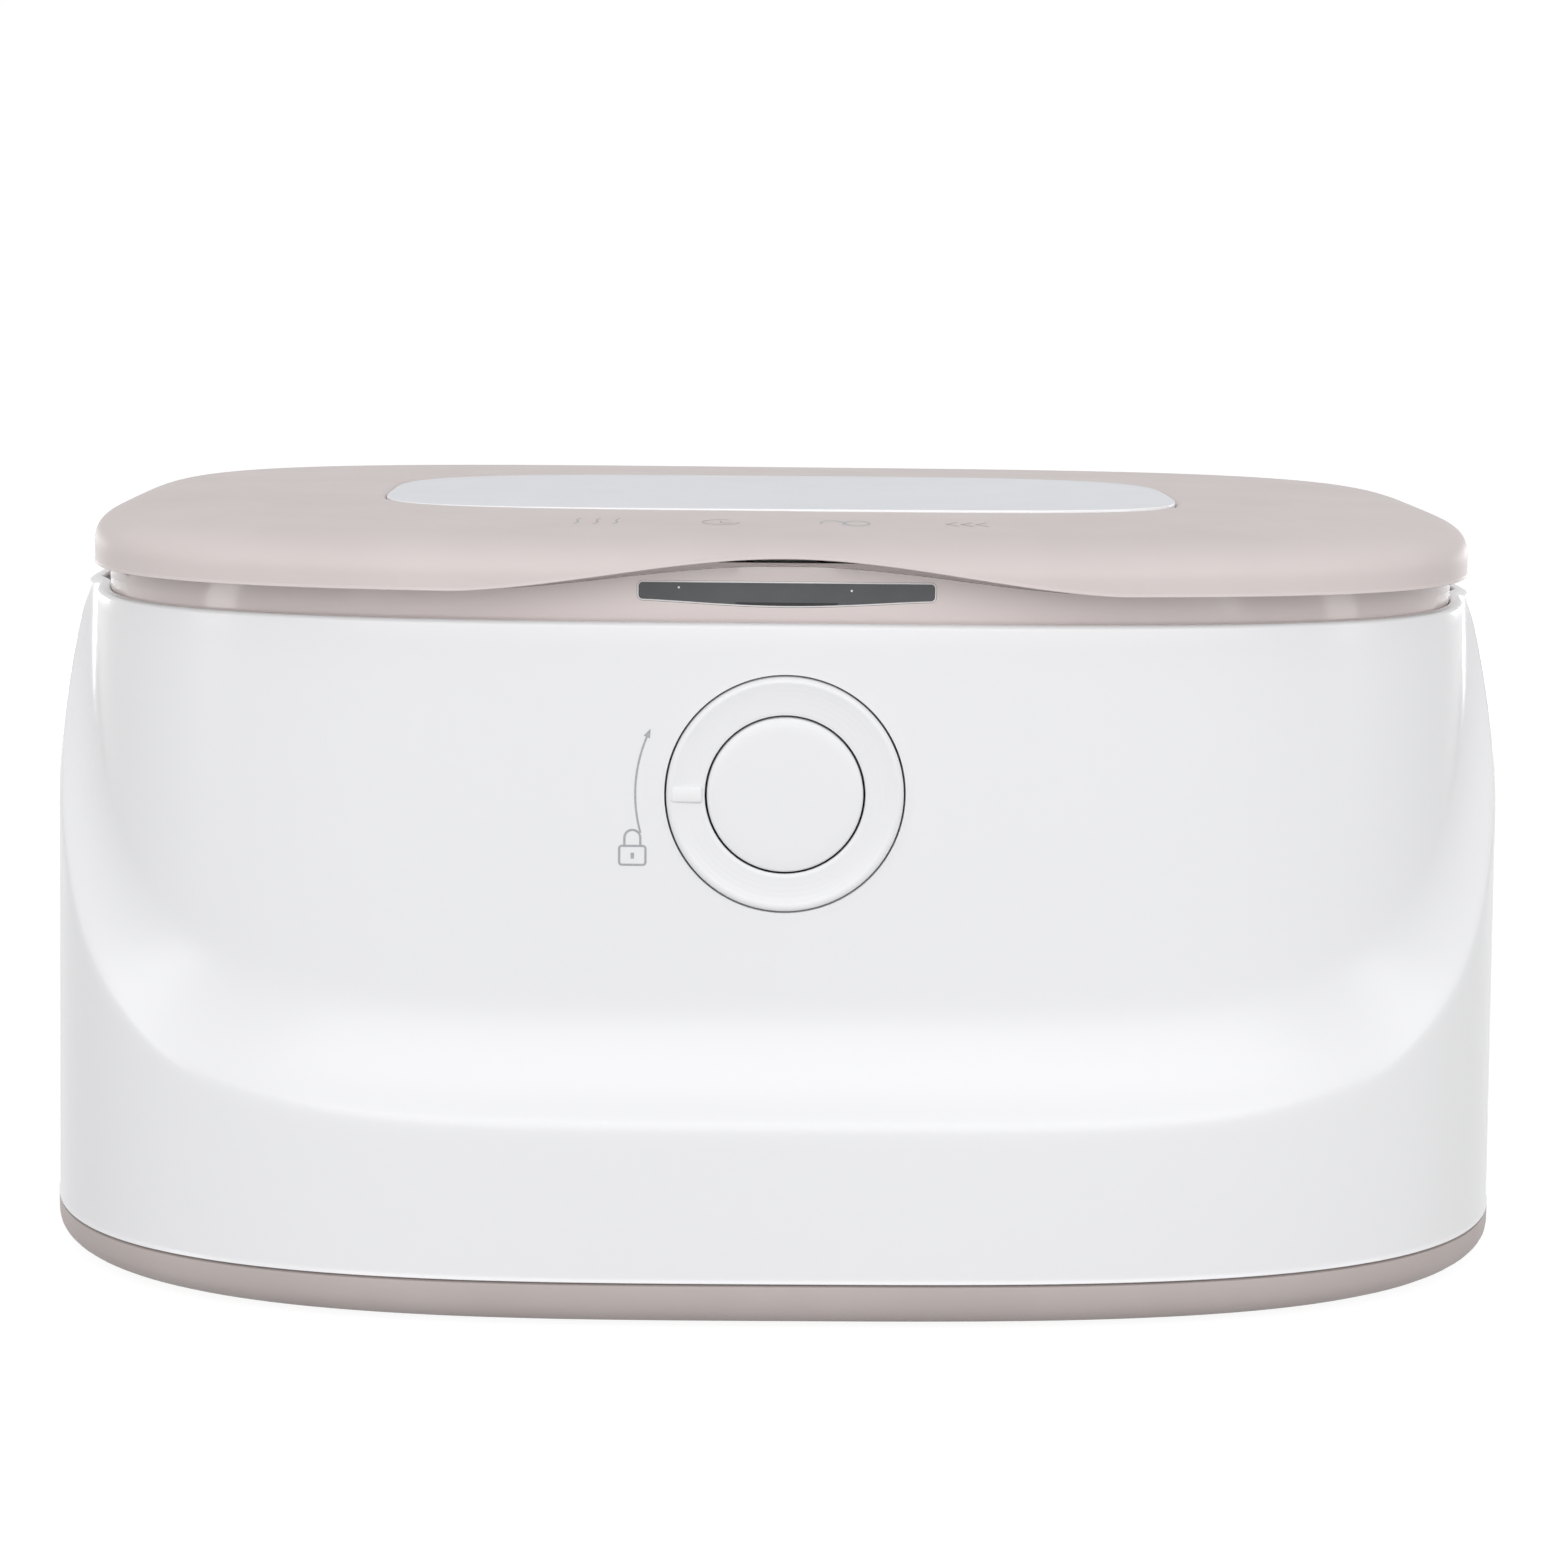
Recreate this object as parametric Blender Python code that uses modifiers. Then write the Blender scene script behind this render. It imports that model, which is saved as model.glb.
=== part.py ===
# Baby wipe warmer: a plastic tub for a pack of moist wipes, heated by a film band,
# inside a white housing with a scooped front, under a sprung lid that a front button
# releases. A ring around the button turns to lock it.
# Metres, +Z up, front at -Y, origin under the middle of the feet.

import math

import bmesh
import bpy
from mathutils import Matrix, Vector

# Whole object
BODY_WIDTH = 0.241
BODY_DEPTH = 0.157
RIM_HEIGHT = 0.1077
PLAN_ROUNDNESS = 3.2
PLAN_POINTS = 48
FIT_GAP = 0.0003
CUT_OVERRUN = 0.002
WELD_DISTANCE = 0.00001
SHARP_ANGLE = math.radians(35.0)
REACH_STEPS = 30
JOIN_OVERLAP = 0.0006
ROUND_SEGMENTS = 20
SMALL_SEGMENTS = 10

# Feet
FOOT_RADIUS = 0.0063
FOOT_HEIGHT = 0.0013
FOOT_PROUD = 0.0010
FOOT_INSET_X = 0.0585
FOOT_INSET_Y = 0.0285

# Base cover
BASE_TOP = 0.0072
BASE_WALL = 0.0022
BASE_ROUNDING = 0.0030
BASE_STEPS = 3
BASE_LIP_RISE = 0.0030
BASE_LIP_WALL = 0.0016
BASE_LIP_CLEARANCE = 0.0005

# Outer housing
HOUSING_WALL = 0.0022
SEAM_GAP = 0.0003
LEAN_HEIGHT = 0.0377
SKIRT_DRAFT = 0.0014
RIM_LEAN = 0.0054
FRONT_INSET_X = 0.0086
FRONT_INSET_Y = 0.0070
FRONT_ROUNDNESS = 3.4
FRONT_DRAFT_SHARE = 0.027
SCOOP_LOW_HEIGHT = 0.0322
SCOOP_RISE = 0.106
SCOOP_CURVE = 1.6
SCOOP_BAND = 0.014
SCOOP_TOP_MARGIN = 0.0047
SCOOP_BAND_SHARES = (0.12, 0.3, 0.55, 0.8, 1.0)
SKIRT_ROW_SHARES = (0.0, 0.35, 0.7, 1.0)
FRONT_ROW_SHARES = (0.35, 0.7, 1.0)

# Screw posts inside the housing, and the screws in them
POST_RADIUS = 0.0035
POST_INSET_X = 0.0040
POST_INSET_Y = 0.0048
POST_RIB_WIDTH = 0.002
POST_TOP = 0.0285
BRACKET_HEIGHT = 0.0097
SCREW_RADIUS = 0.0014
SCREW_HEAD_RADIUS = 0.0026
SCREW_HEAD_HEIGHT = 0.0017
SCREW_HEAD_CLEARANCE = 0.0004
SCREW_GRIP = 0.009
PILOT_DEPTH = 0.012
BASE_BOSS_RADIUS = 0.0048
BASE_SCREW_RECESS = 0.0034

# Dial and button
DIAL_BELOW_RIM = 0.0258
DIAL_SEGMENTS = 40
DIAL_RADIUS = 0.0179
DIAL_HOLE_CLEARANCE = 0.0005
DIAL_PROUD = 0.0015
DIAL_THICKNESS = 0.0035
DIAL_DISH_DEPTH = 0.0007
DIAL_BEVEL = 0.0007
DIAL_LIP = 0.0005
DIAL_BORE = 0.01215
DIAL_SLEEVE_RADIUS = 0.0140
DIAL_SLEEVE_LENGTH = 0.0074
MARKER_WIDTH = 0.0030
MARKER_PROUD = 0.0003
MARKER_START = 0.0128
MARKER_END = 0.0171
BUTTON_RADIUS = 0.0118
BUTTON_DOME = 0.0005
BUTTON_DOME_SHARE = 0.75
BUTTON_EDGE = 0.0006
BUTTON_FACE_THICKNESS = 0.0020
BUTTON_WALL = 0.0015
BUTTON_SKIRT = 0.0070
BUTTON_TIP_REACH = 0.00035
BUTTON_STEM_RADIUS = 0.0026
BUTTON_TIP_RADIUS = 0.0012
HOOK_RING_RADIUS = 0.0172
HOOK_RING_BORE = 0.0121
HOOK_THICKNESS = 0.0015
HOOK_REACH = 0.0284
HOOK_ARM_HALF_WIDTH = 0.0015
HOOK_ARM_INSET = 0.0002
HOOK_FINGER_RADIUS = 0.0013
HOOK_FINGER_SETBACK = 0.0007
HOOK_REST_ANGLE = math.radians(37.0)
HOOK_TO_WEB = 0.0010
SPRING_COIL_RADIUS = 0.0042
SPRING_WIRE = 0.0007
SPRING_TURNS = 6
SPRING_POINTS_PER_TURN = 8

# Carrier that the dial turns on, and the bracket of the latch
CARRIER_HALF_WIDTH = 0.029
CARRIER_HALF_HEIGHT = 0.0195
CARRIER_THICKNESS = 0.0018
CARRIER_STANDOFF = 0.0050
SEAT_BORE_CLEARANCE = 0.0005
SEAT_RADIUS = 0.0158
CARRIER_BOSS_X = 0.0240
CARRIER_BOSS_RADIUS = 0.0030
CARRIER_SCREW_RADIUS = 0.0010
CARRIER_SCREW_HEAD_RADIUS = 0.0020
CARRIER_SCREW_HEAD_HEIGHT = 0.0014
CARRIER_SCREW_LENGTH = 0.0086
BRACKET_WEB_DEPTH = 0.0016
STEM_CLEARANCE = 0.0005
BRACKET_LEG_X = 0.0186
BRACKET_LEG_WIDTH = 0.0018
BRACKET_FOOT_REACH = 0.0278
BRACKET_FOOT_THICKNESS = 0.0015
BRACKET_HALF_HEIGHT = 0.0080
CHEEK_X = 0.0084
CHEEK_WIDTH = 0.0020
CHEEK_RADIUS = 0.0024
CHEEK_ROOT = 0.0030

# Latch lever
LEVER_PIVOT_BELOW_LEDGE = 0.0153
LEVER_HALF_WIDTH = 0.0040
LEVER_HUB_HALF_WIDTH = 0.0080
LEVER_PIVOT_OFFSET = 0.0007
LEVER_UPPER_OFFSET = 0.0006
LEVER_THICKNESS = 0.0016
LEVER_HUB_RADIUS = 0.0024
LEVER_PIN_RADIUS = 0.0012
LEVER_LOW_END_BELOW_STEM = 0.0034
LEVER_TOP_BELOW_LEDGE = 0.0010
LEVER_NOSE_LENGTH = 0.0016
LEVER_NOSE_HEIGHT = 0.0015
LEVER_PRESS_GAP = 0.00045

# Inner frame
FRAME_TO_HOUSING = 0.0015
FRAME_WALL = 0.0022
FRAME_RISE = 0.0086
FRAME_DEPTH = 0.0183
LEDGE_DROP = 0.0028
LEDGE_THICKNESS = 0.0022
LUG_RADIUS = 0.0048
LUG_THICKNESS = 0.0020

# Wipe tub
TUB_SIDE_SPACE = 0.0132
TUB_FRONT_SPACE = 0.0208
TUB_BACK_SPACE = 0.0148
TUB_POINTS = 32
TUB_WALL = 0.0014
TUB_STEPS = 3
TUB_FLOOR_HEIGHT = 0.0240
TUB_CORNER = 0.0040
TUB_MOUTH_CLEARANCE = 0.0005
TUB_FLANGE_CLEARANCE = 0.0006

# Heater and insulation around the tub
HEATER_ABOVE_FLOOR = 0.010
HEATER_BELOW_FRAME = 0.006
HEATER_THICKNESS = 0.0008
INSULATION_THICKNESS = 0.0020
INSULATION_EXTRA = 0.0020
CUTOUT_SIZE = (0.012, 0.008, 0.0040)
CUTOUT_X = 0.040
SENSOR_RADIUS = 0.0022
SENSOR_LENGTH = 0.0040
SENSOR_X = -0.040

# Control board and power inlet
BOARD_SIZE = (0.090, 0.060, 0.0016)
BOARD_X = -0.015
BOARD_Y = 0.004
BOARD_HEIGHT = 0.0096
BOARD_STUD_RADIUS = 0.0030
BOARD_SCREW_INSET = 0.005
BOARD_SCREW_CORNERS = ((-1, 1), (1, -1))
BOARD_SCREW_RADIUS = 0.0009
BOARD_SCREW_HEAD_RADIUS = 0.0019
BOARD_SCREW_HEAD_HEIGHT = 0.0013
BOARD_SCREW_GRIP = 0.0050
RELAY_SIZE = (0.019, 0.015, 0.0075)
CHIP_SIZE = (0.010, 0.010, 0.0014)
SOCKET_SIZE = (0.010, 0.005, 0.0060)
CAPACITOR_RADIUS = 0.0035
CAPACITOR_HEIGHT = 0.0080
JACK_X = 0.040
JACK_HEIGHT = 0.0165
JACK_BARREL_RADIUS = 0.0040
JACK_BORE_RADIUS = 0.0029
JACK_BORE_DEPTH = 0.0090
JACK_PIN_RADIUS = 0.0010
JACK_BODY = (0.0100, 0.0110, 0.0110)
JACK_BARREL_CLEARANCE = 0.0004
JACK_INSET = 0.0004
JACK_WALL_GAP = 0.0009
JACK_PIN_SETBACK = 0.0015
JACK_REST_HALF_WIDTH = 0.0040
JACK_REST_DEPTH = 0.0090

# Display behind the collar's window
LENS_HALF_WIDTH = 0.0224
LENS_DROP = 0.0027
LENS_END_HEIGHT = 0.0023
LENS_SAG = 0.0012
LENS_INSET = 0.0001
LENS_END_STEPS = 5
LENS_BOW_STEPS = 8
LENS_THICKNESS = 0.0019
LENS_CLEARANCE = 0.0003
LENS_FLANGE_REACH = 0.0012
LENS_FLANGE_THICKNESS = 0.0006
DISPLAY_BOARD_SIZE = (0.052, 0.0010, 0.0080)
DISPLAY_BOARD_DROP = 0.0002
LEDGE_NOTCH_HALF_WIDTH = 0.028
LEDGE_NOTCH_DEPTH = 0.0035

# Lid
LID_INSET_X = 0.0094
LID_INSET_Y = 0.0025
LID_ROUNDNESS = 3.8
LID_WALL = 0.0016
LID_ABOVE_RIM = 0.0048
LID_SIDE_HEIGHT = 0.0079
LID_CROWN = 0.0016
LID_EDGE_SHARES = ((0.010, 0.0), (0.0, 0.30), (0.035, 0.58), (0.14, 0.80), (0.42, 0.95), (1.0, 1.0))
LID_EDGE_REACH = 0.0072
LID_TOP_SHARES = (0.4, 1.0)
ARCH_HALF_WIDTH = 0.056
ARCH_RISE = 0.0050
ARCH_START_DROP = 0.0002
ARCH_CUT_DEPTH = 0.0050
ARCH_POINTS = 24

# Lid liner, seal, catch
LINER_ABOVE_FRAME = 0.0004
LINER_THICKNESS = 0.0015
LINER_CLEARANCE = 0.0018
SEAL_WIDTH = 0.0024
SEAL_OUTSET = 0.0012
CATCH_HALF_WIDTH = 0.0050
CATCH_THICKNESS = 0.0015
CATCH_CLEARANCE = 0.0005
CATCH_NOSE_HEIGHT = 0.0021
CATCH_NOSE_LENGTH = 0.0011
CATCH_DROP = 0.0007
CATCH_SLOT_MARGIN = 0.0011
CATCH_PIN_RADIUS = 0.0005
CATCH_PIN_CLEARANCE = 0.00015
CATCH_PIN_REACH = 0.0086

# Lid hinge
HINGE_BEHIND_FRAME = 0.0031
HINGE_DROP = 0.0029
HINGE_EAR_RADIUS = 0.0026
HINGE_ARM_HALF_HEIGHT = 0.0024
HINGE_PIN_RADIUS = 0.0012
HINGE_EAR_X = (0.0203, 0.0280)
HINGE_INNER_KNUCKLE_X = (0.0050, 0.0127)
HINGE_OUTER_KNUCKLE_X = (0.0283, 0.0360)
HINGE_WEB_WIDTH = 0.0036
HINGE_SPRING_RADIUS = 0.0020
HINGE_SPRING_WIRE = 0.0005
HINGE_SPRING_TURNS = 6

# Light panel, its lamp board and the touch film in the lid
PANEL_SIDE_STRIP = 0.0453
PANEL_FRONT_STRIP = 0.0403
PANEL_BACK_STRIP = 0.0387
PANEL_ROUNDNESS = 3.7
PANEL_POINTS = 32
PANEL_RISE = 0.0018
PANEL_THICKNESS = 0.0019
PANEL_EDGE = 0.0006
PANEL_CLEARANCE = 0.0005
PANEL_RIM_REACH = 0.0025
PANEL_RIM_WALL = 0.0024
PANEL_EDGE_SHARE = 0.3
FLANGE_DROP = 0.0004
LAMP_BOARD_MARGIN = 0.010
LAMP_BOARD_THICKNESS = 0.0008
LAMP_SIZE = (0.0028, 0.0028, 0.0006)
LAMP_COLUMNS = 6
LAMP_ROWS = 2
LAMP_INSET_X = 0.011
LAMP_INSET_Y = 0.022
TOUCH_FILM_HALF_WIDTH = 0.0425
TOUCH_FILM_HALF_DEPTH = 0.0080
TOUCH_FILM_THICKNESS = 0.0004
TOUCH_FILM_DROP = 0.0002
TOUCH_FILM_INSET = 0.0245

# Leads inside the base: each runs between two ends, by these shares of the way
LEAD_SMOOTHING = 3
LEAD_SOCKET_HEIGHT = 0.0032
POWER_LEAD_RADIUS = 0.0016
POWER_SOCKET_X = 0.0240
POWER_LEAD_SHARES = ((0.0, 0.0, 0.0), (0.0, 0.11, 0.0), (0.16, 0.35, 0.14), (0.56, 0.62, 0.48),
                     (0.94, 0.79, 0.86), (1.0, 0.90, 1.0), (1.0, 1.0, 1.0))
HEATER_LEAD_RADIUS = 0.0004
HEATER_SOCKET_X = -0.0100
HEATER_LEAD_SHARES = ((0.0, 0.0, 0.0), (0.0, 0.0, 0.14), (0.0, 0.0, 0.40), (0.10, 0.11, 0.71),
                      (0.40, 0.39, 0.89), (0.80, 0.69, 0.95), (1.0, 0.86, 1.0), (1.0, 1.0, 1.0))

# Sizes in plan that follow the body, from the outside in
CORNER_SHARE = 0.5 ** (1.0 / FRONT_ROUNDNESS)
FOOT_X = BODY_WIDTH / 2 - FOOT_INSET_X
FOOT_Y = BODY_DEPTH / 2 - FOOT_INSET_Y
LID_HALF_WIDTH = BODY_WIDTH / 2 - LID_INSET_X
LID_HALF_DEPTH = BODY_DEPTH / 2 - LID_INSET_Y
FRONT_HALF_WIDTH = BODY_WIDTH / 2 - FRONT_INSET_X
FRONT_HALF_DEPTH = BODY_DEPTH / 2 - FRONT_INSET_Y
FRAME_HALF_WIDTH = FRONT_HALF_WIDTH - HOUSING_WALL - FRAME_TO_HOUSING
FRAME_HALF_DEPTH = FRONT_HALF_DEPTH - HOUSING_WALL - FRAME_TO_HOUSING
POST_X = FRAME_HALF_WIDTH * CORNER_SHARE - POST_INSET_X
POST_Y = FRAME_HALF_DEPTH * CORNER_SHARE - POST_INSET_Y
TUB_HALF_WIDTH = FRAME_HALF_WIDTH - TUB_SIDE_SPACE
TUB_HALF_DEPTH = FRAME_HALF_DEPTH - (TUB_FRONT_SPACE + TUB_BACK_SPACE) / 2
TUB_CENTRE_Y = (TUB_FRONT_SPACE - TUB_BACK_SPACE) / 2
PANEL_HALF_WIDTH = LID_HALF_WIDTH - PANEL_SIDE_STRIP
PANEL_HALF_DEPTH = LID_HALF_DEPTH - (PANEL_FRONT_STRIP + PANEL_BACK_STRIP) / 2
PANEL_CENTRE_Y = (PANEL_FRONT_STRIP - PANEL_BACK_STRIP) / 2
TOUCH_FILM_Y = TOUCH_FILM_INSET - LID_HALF_DEPTH
HINGE_Y = FRAME_HALF_DEPTH + HINGE_BEHIND_FRAME

# Heights and faces that several pieces share
FRAME_TOP = RIM_HEIGHT + FRAME_RISE
LEDGE_TOP = FRAME_TOP - LEDGE_DROP
LENS_TOP = FRAME_TOP - LENS_DROP
HINGE_Z = FRAME_TOP - HINGE_DROP
LINER_LOW = FRAME_TOP + LINER_ABOVE_FRAME
LID_LOW_EDGE = RIM_HEIGHT + LID_ABOVE_RIM
LID_SHOULDER = LID_LOW_EDGE + LID_SIDE_HEIGHT
PANEL_TOP = LID_SHOULDER + PANEL_RISE
DIAL_HEIGHT = RIM_HEIGHT - DIAL_BELOW_RIM
LEAN_START_HEIGHT = RIM_HEIGHT - LEAN_HEIGHT
HOUSING_LOW = BASE_TOP + SEAM_GAP
FLOOR_TOP = FOOT_PROUD + BASE_WALL
BASE_LIP_TOP = BASE_TOP + BASE_LIP_RISE
POST_LOW = BASE_LIP_TOP + FIT_GAP
FRAME_LOW = FRAME_TOP - FRAME_DEPTH
BRACKET_TOP = FRAME_LOW - FIT_GAP
LEDGE_LOW = LEDGE_TOP - LEDGE_THICKNESS
DECK_LOW = LEDGE_TOP + FIT_GAP
DECK_TOP = DECK_LOW + TUB_WALL
FRONT_INNER_Y = -FRONT_HALF_DEPTH + HOUSING_WALL
DIAL_FRONT_Y = -FRONT_HALF_DEPTH - DIAL_PROUD
DIAL_BACK_Y = DIAL_FRONT_Y + DIAL_THICKNESS
SLEEVE_END_Y = DIAL_BACK_Y + DIAL_SLEEVE_LENGTH
CARRIER_FRONT_Y = FRONT_INNER_Y + CARRIER_STANDOFF
CARRIER_BACK_Y = CARRIER_FRONT_Y + CARRIER_THICKNESS
HOOK_FRONT_Y = SLEEVE_END_Y + FIT_GAP
HOOK_BACK_Y = HOOK_FRONT_Y + HOOK_THICKNESS
FOOT_FRONT_Y = CARRIER_BACK_Y + FIT_GAP
WEB_FRONT_Y = HOOK_BACK_Y + HOOK_TO_WEB
WEB_BACK_Y = WEB_FRONT_Y + BRACKET_WEB_DEPTH
BUTTON_FRONT_Y = DIAL_FRONT_Y
BUTTON_INNER_Y = BUTTON_FRONT_Y + BUTTON_FACE_THICKNESS
BUTTON_TIP_Y = WEB_BACK_Y + BUTTON_TIP_REACH
LEVER_FRONT_Y = BUTTON_TIP_Y + LEVER_PRESS_GAP
PIVOT_Y = LEVER_FRONT_Y - LEVER_PIVOT_OFFSET
LEVER_TOP = LEDGE_LOW - LEVER_TOP_BELOW_LEDGE
LEVER_PIVOT_HEIGHT = LEDGE_LOW - LEVER_PIVOT_BELOW_LEDGE
LEVER_LOW_END = DIAL_HEIGHT - LEVER_LOW_END_BELOW_STEM
LEVER_UPPER_BACK_Y = PIVOT_Y + LEVER_UPPER_OFFSET
NOSE_TIP_Y = LEVER_UPPER_BACK_Y + LEVER_NOSE_LENGTH
CATCH_NOSE_Y = NOSE_TIP_Y + CATCH_CLEARANCE
CATCH_FRONT_Y = CATCH_NOSE_Y + CATCH_NOSE_LENGTH
CATCH_BACK_Y = CATCH_FRONT_Y + CATCH_THICKNESS
CATCH_NOSE_TOP = LEVER_TOP - LEVER_NOSE_HEIGHT - CATCH_DROP
CATCH_NOSE_LOW = CATCH_NOSE_TOP - CATCH_NOSE_HEIGHT
CATCH_PIN_Y = (CATCH_NOSE_Y + CATCH_BACK_Y) / 2
CATCH_PIN_HEIGHT = (CATCH_NOSE_LOW + CATCH_NOSE_TOP) / 2
BOARD_TOP = BOARD_HEIGHT + BOARD_SIZE[2]
BOARD_SCREW_X = BOARD_SIZE[0] / 2 - BOARD_SCREW_INSET
BOARD_SCREW_Y = BOARD_SIZE[1] / 2 - BOARD_SCREW_INSET
HEATER_LOW = TUB_FLOOR_HEIGHT + HEATER_ABOVE_FLOOR
HEATER_HIGH = FRAME_LOW - HEATER_BELOW_FRAME


# Start from an empty file
for leftover in list(bpy.data.objects):
    bpy.data.objects.remove(leftover, do_unlink=True)
parts = bpy.data.collections.new("baby_wipe_warmer")
tools = bpy.data.collections.new("cutters_and_guides")
bpy.context.scene.collection.children.link(parts)
bpy.context.scene.collection.children.link(tools)


# Materials
def plastic(name, colour, roughness, metallic=0.0):
    """One Principled material for a finish."""
    made = bpy.data.materials.new(name)
    made.use_nodes = True
    shader = made.node_tree.nodes["Principled BSDF"]
    shader.inputs["Base Color"].default_value = (*colour, 1.0)
    shader.inputs["Roughness"].default_value = roughness
    shader.inputs["Metallic"].default_value = metallic
    return made


white_gloss = plastic("white_gloss_abs", (0.88, 0.88, 0.89), 0.25)
white_satin = plastic("white_satin_pp", (0.82, 0.82, 0.83), 0.45)
taupe_satin = plastic("taupe_satin_abs", (0.56, 0.50, 0.49), 0.45)
taupe_gloss = plastic("taupe_gloss_abs", (0.50, 0.44, 0.43), 0.25)
grey_lens = plastic("smoked_lens", (0.05, 0.05, 0.055), 0.15)
diffuser = plastic("opal_diffuser", (0.80, 0.83, 0.88), 0.35)
silicone = plastic("silicone_rubber", (0.65, 0.65, 0.65), 0.7)
foot_rubber = plastic("foot_rubber", (0.25, 0.24, 0.24), 0.8)
steel = plastic("zinc_plated_steel", (0.60, 0.60, 0.62), 0.3, 1.0)
spring_steel = plastic("spring_steel", (0.50, 0.50, 0.52), 0.3, 1.0)
board_green = plastic("circuit_board", (0.04, 0.20, 0.09), 0.5)
heater_foil = plastic("heater_foil", (0.75, 0.55, 0.25), 0.35, 0.6)
foam = plastic("insulation_foam", (0.70, 0.70, 0.68), 0.9)
black_plastic = plastic("black_pbt", (0.03, 0.03, 0.03), 0.5)
acetal = plastic("natural_acetal", (0.85, 0.85, 0.82), 0.4)


# Ways of making the shapes
def add_object(name, data, material=None):
    """A new object among the parts."""
    made = bpy.data.objects.new(name, data)
    parts.objects.link(made)
    if material:
        data.materials.clear()
        data.materials.append(material)
    return made


def mesh_object(name, shape, material=None):
    """Turns a bmesh into a smooth-shaded object with its sharp edges kept."""
    mesh = bpy.data.meshes.new(name)
    shape.to_mesh(mesh)
    shape.free()
    mesh.shade_smooth()
    mesh.set_sharp_from_angle(angle=SHARP_ANGLE)
    return add_object(name, mesh, material)


def as_mesh(made):
    """Turns a curve object into a welded mesh object in the same place."""
    graph = bpy.context.evaluated_depsgraph_get()
    mesh = bpy.data.meshes.new_from_object(made.evaluated_get(graph))
    shape = bmesh.new()
    shape.from_mesh(mesh)
    bmesh.ops.remove_doubles(shape, verts=shape.verts, dist=WELD_DISTANCE)
    bmesh.ops.recalc_face_normals(shape, faces=shape.faces)
    shape.transform(made.matrix_world)
    bpy.data.meshes.remove(mesh)
    name = made.name
    material = made.data.materials[0] if made.data.materials else None
    curve = made.data
    bpy.data.objects.remove(made)
    bpy.data.curves.remove(curve)
    return mesh_object(name, shape, material)


def box(name, low, high, material=None):
    """A block between two opposite corners."""
    low = Vector(low)
    high = Vector(high)
    size = Matrix.Diagonal((*(high - low), 1.0))
    shape = bmesh.new()
    bmesh.ops.create_cube(shape, size=1.0, matrix=Matrix.Translation((low + high) / 2) @ size)
    return mesh_object(name, shape, material)


def rod(name, start, end, radius, segments=SMALL_SEGMENTS, material=None):
    """A round bar between two points."""
    start = Vector(start)
    end = Vector(end)
    along = end - start
    turn = Vector((0.0, 0.0, 1.0)).rotation_difference(along).to_matrix().to_4x4()
    shape = bmesh.new()
    bmesh.ops.create_cone(
        shape, cap_ends=True, segments=segments, radius1=radius, radius2=radius, depth=along.length,
        matrix=Matrix.Translation((start + end) / 2) @ turn)
    return mesh_object(name, shape, material)


def prism(name, outlines, low, high, across="Z", material=None):
    """Raises flat outlines from low to high along an axis; those after the first are holes."""
    curve = bpy.data.curves.new(name, "CURVE")
    curve.dimensions = "2D"
    curve.fill_mode = "BOTH"
    curve.extrude = (high - low) / 2
    for outline in outlines:
        spline = curve.splines.new("POLY")
        spline.points.add(len(outline) - 1)
        for point, (first, second) in zip(spline.points, outline):
            point.co = (first, second, 0.0, 1.0)
        spline.use_cyclic_u = True
    made = add_object(name, curve, material)
    middle = (low + high) / 2
    if across == "Z":
        made.location = (0.0, 0.0, middle)
    elif across == "Y":
        made.rotation_euler = (math.pi / 2, 0.0, 0.0)
        made.location = (0.0, middle, 0.0)
    else:
        made.rotation_euler = (math.pi / 2, 0.0, math.pi / 2)
        made.location = (middle, 0.0, 0.0)
    bpy.context.view_layer.update()
    return as_mesh(made)


def loft(name, rings, material=None, capped_low=False, capped_high=False):
    """Skins closed rings of points, listed from the lowest, counter-clockwise seen from above."""
    shape = bmesh.new()
    rows = [[shape.verts.new(point) for point in ring] for ring in rings]
    for lower, upper in zip(rows, rows[1:]):
        count = len(lower)
        for here in range(count):
            after = (here + 1) % count
            shape.faces.new((lower[here], lower[after], upper[after], upper[here]))
    if capped_low:
        shape.faces.new(list(reversed(rows[0])))
    if capped_high:
        shape.faces.new(rows[-1])
    return mesh_object(name, shape, material)


def turned(name, profile, centre, segments, material=None):
    """Turns a profile of (radius, distance to the front) about a front-to-back axis.

    It is listed from the front, down the outer side; one that starts on the axis ends on it.
    """
    mesh = bpy.data.meshes.new(name)
    points = [(radius, 0.0, ahead) for radius, ahead in profile]
    edges = [(index, index + 1) for index in range(len(points) - 1)]
    if profile[0][0] > 0.0:
        edges.append((len(points) - 1, 0))
    mesh.from_pydata(points, edges, [])
    made = add_object(name, mesh, material)
    made.rotation_euler = (math.pi / 2, 0.0, 0.0)
    made.location = centre
    screw = made.modifiers.new("turn", "SCREW")
    screw.steps = segments
    screw.render_steps = segments
    screw.use_merge_vertices = True
    screw.merge_threshold = WELD_DISTANCE
    screw.use_smooth_shade = True
    return made


def wall(made, thickness):
    """Gives an open skin its wall, on the inner side."""
    solid = made.modifiers.new("wall", "SOLIDIFY")
    solid.thickness = thickness
    solid.offset = -1.0
    solid.use_even_offset = True
    return made


def put_away(tool):
    """Moves a cutter or a joined guide out of the parts."""
    parts.objects.unlink(tool)
    tools.objects.link(tool)
    tool.hide_render = True
    tool.display_type = "WIRE"


def combine(made, operation, shapes):
    """Adds one Boolean for each shape."""
    for shape in shapes:
        step = made.modifiers.new(operation.lower(), "BOOLEAN")
        step.operation = operation
        step.solver = "EXACT"
        step.object = shape
        put_away(shape)
    return made


def cut(made, *shapes):
    return combine(made, "DIFFERENCE", shapes)


def join(made, *shapes):
    return combine(made, "UNION", shapes)


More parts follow.
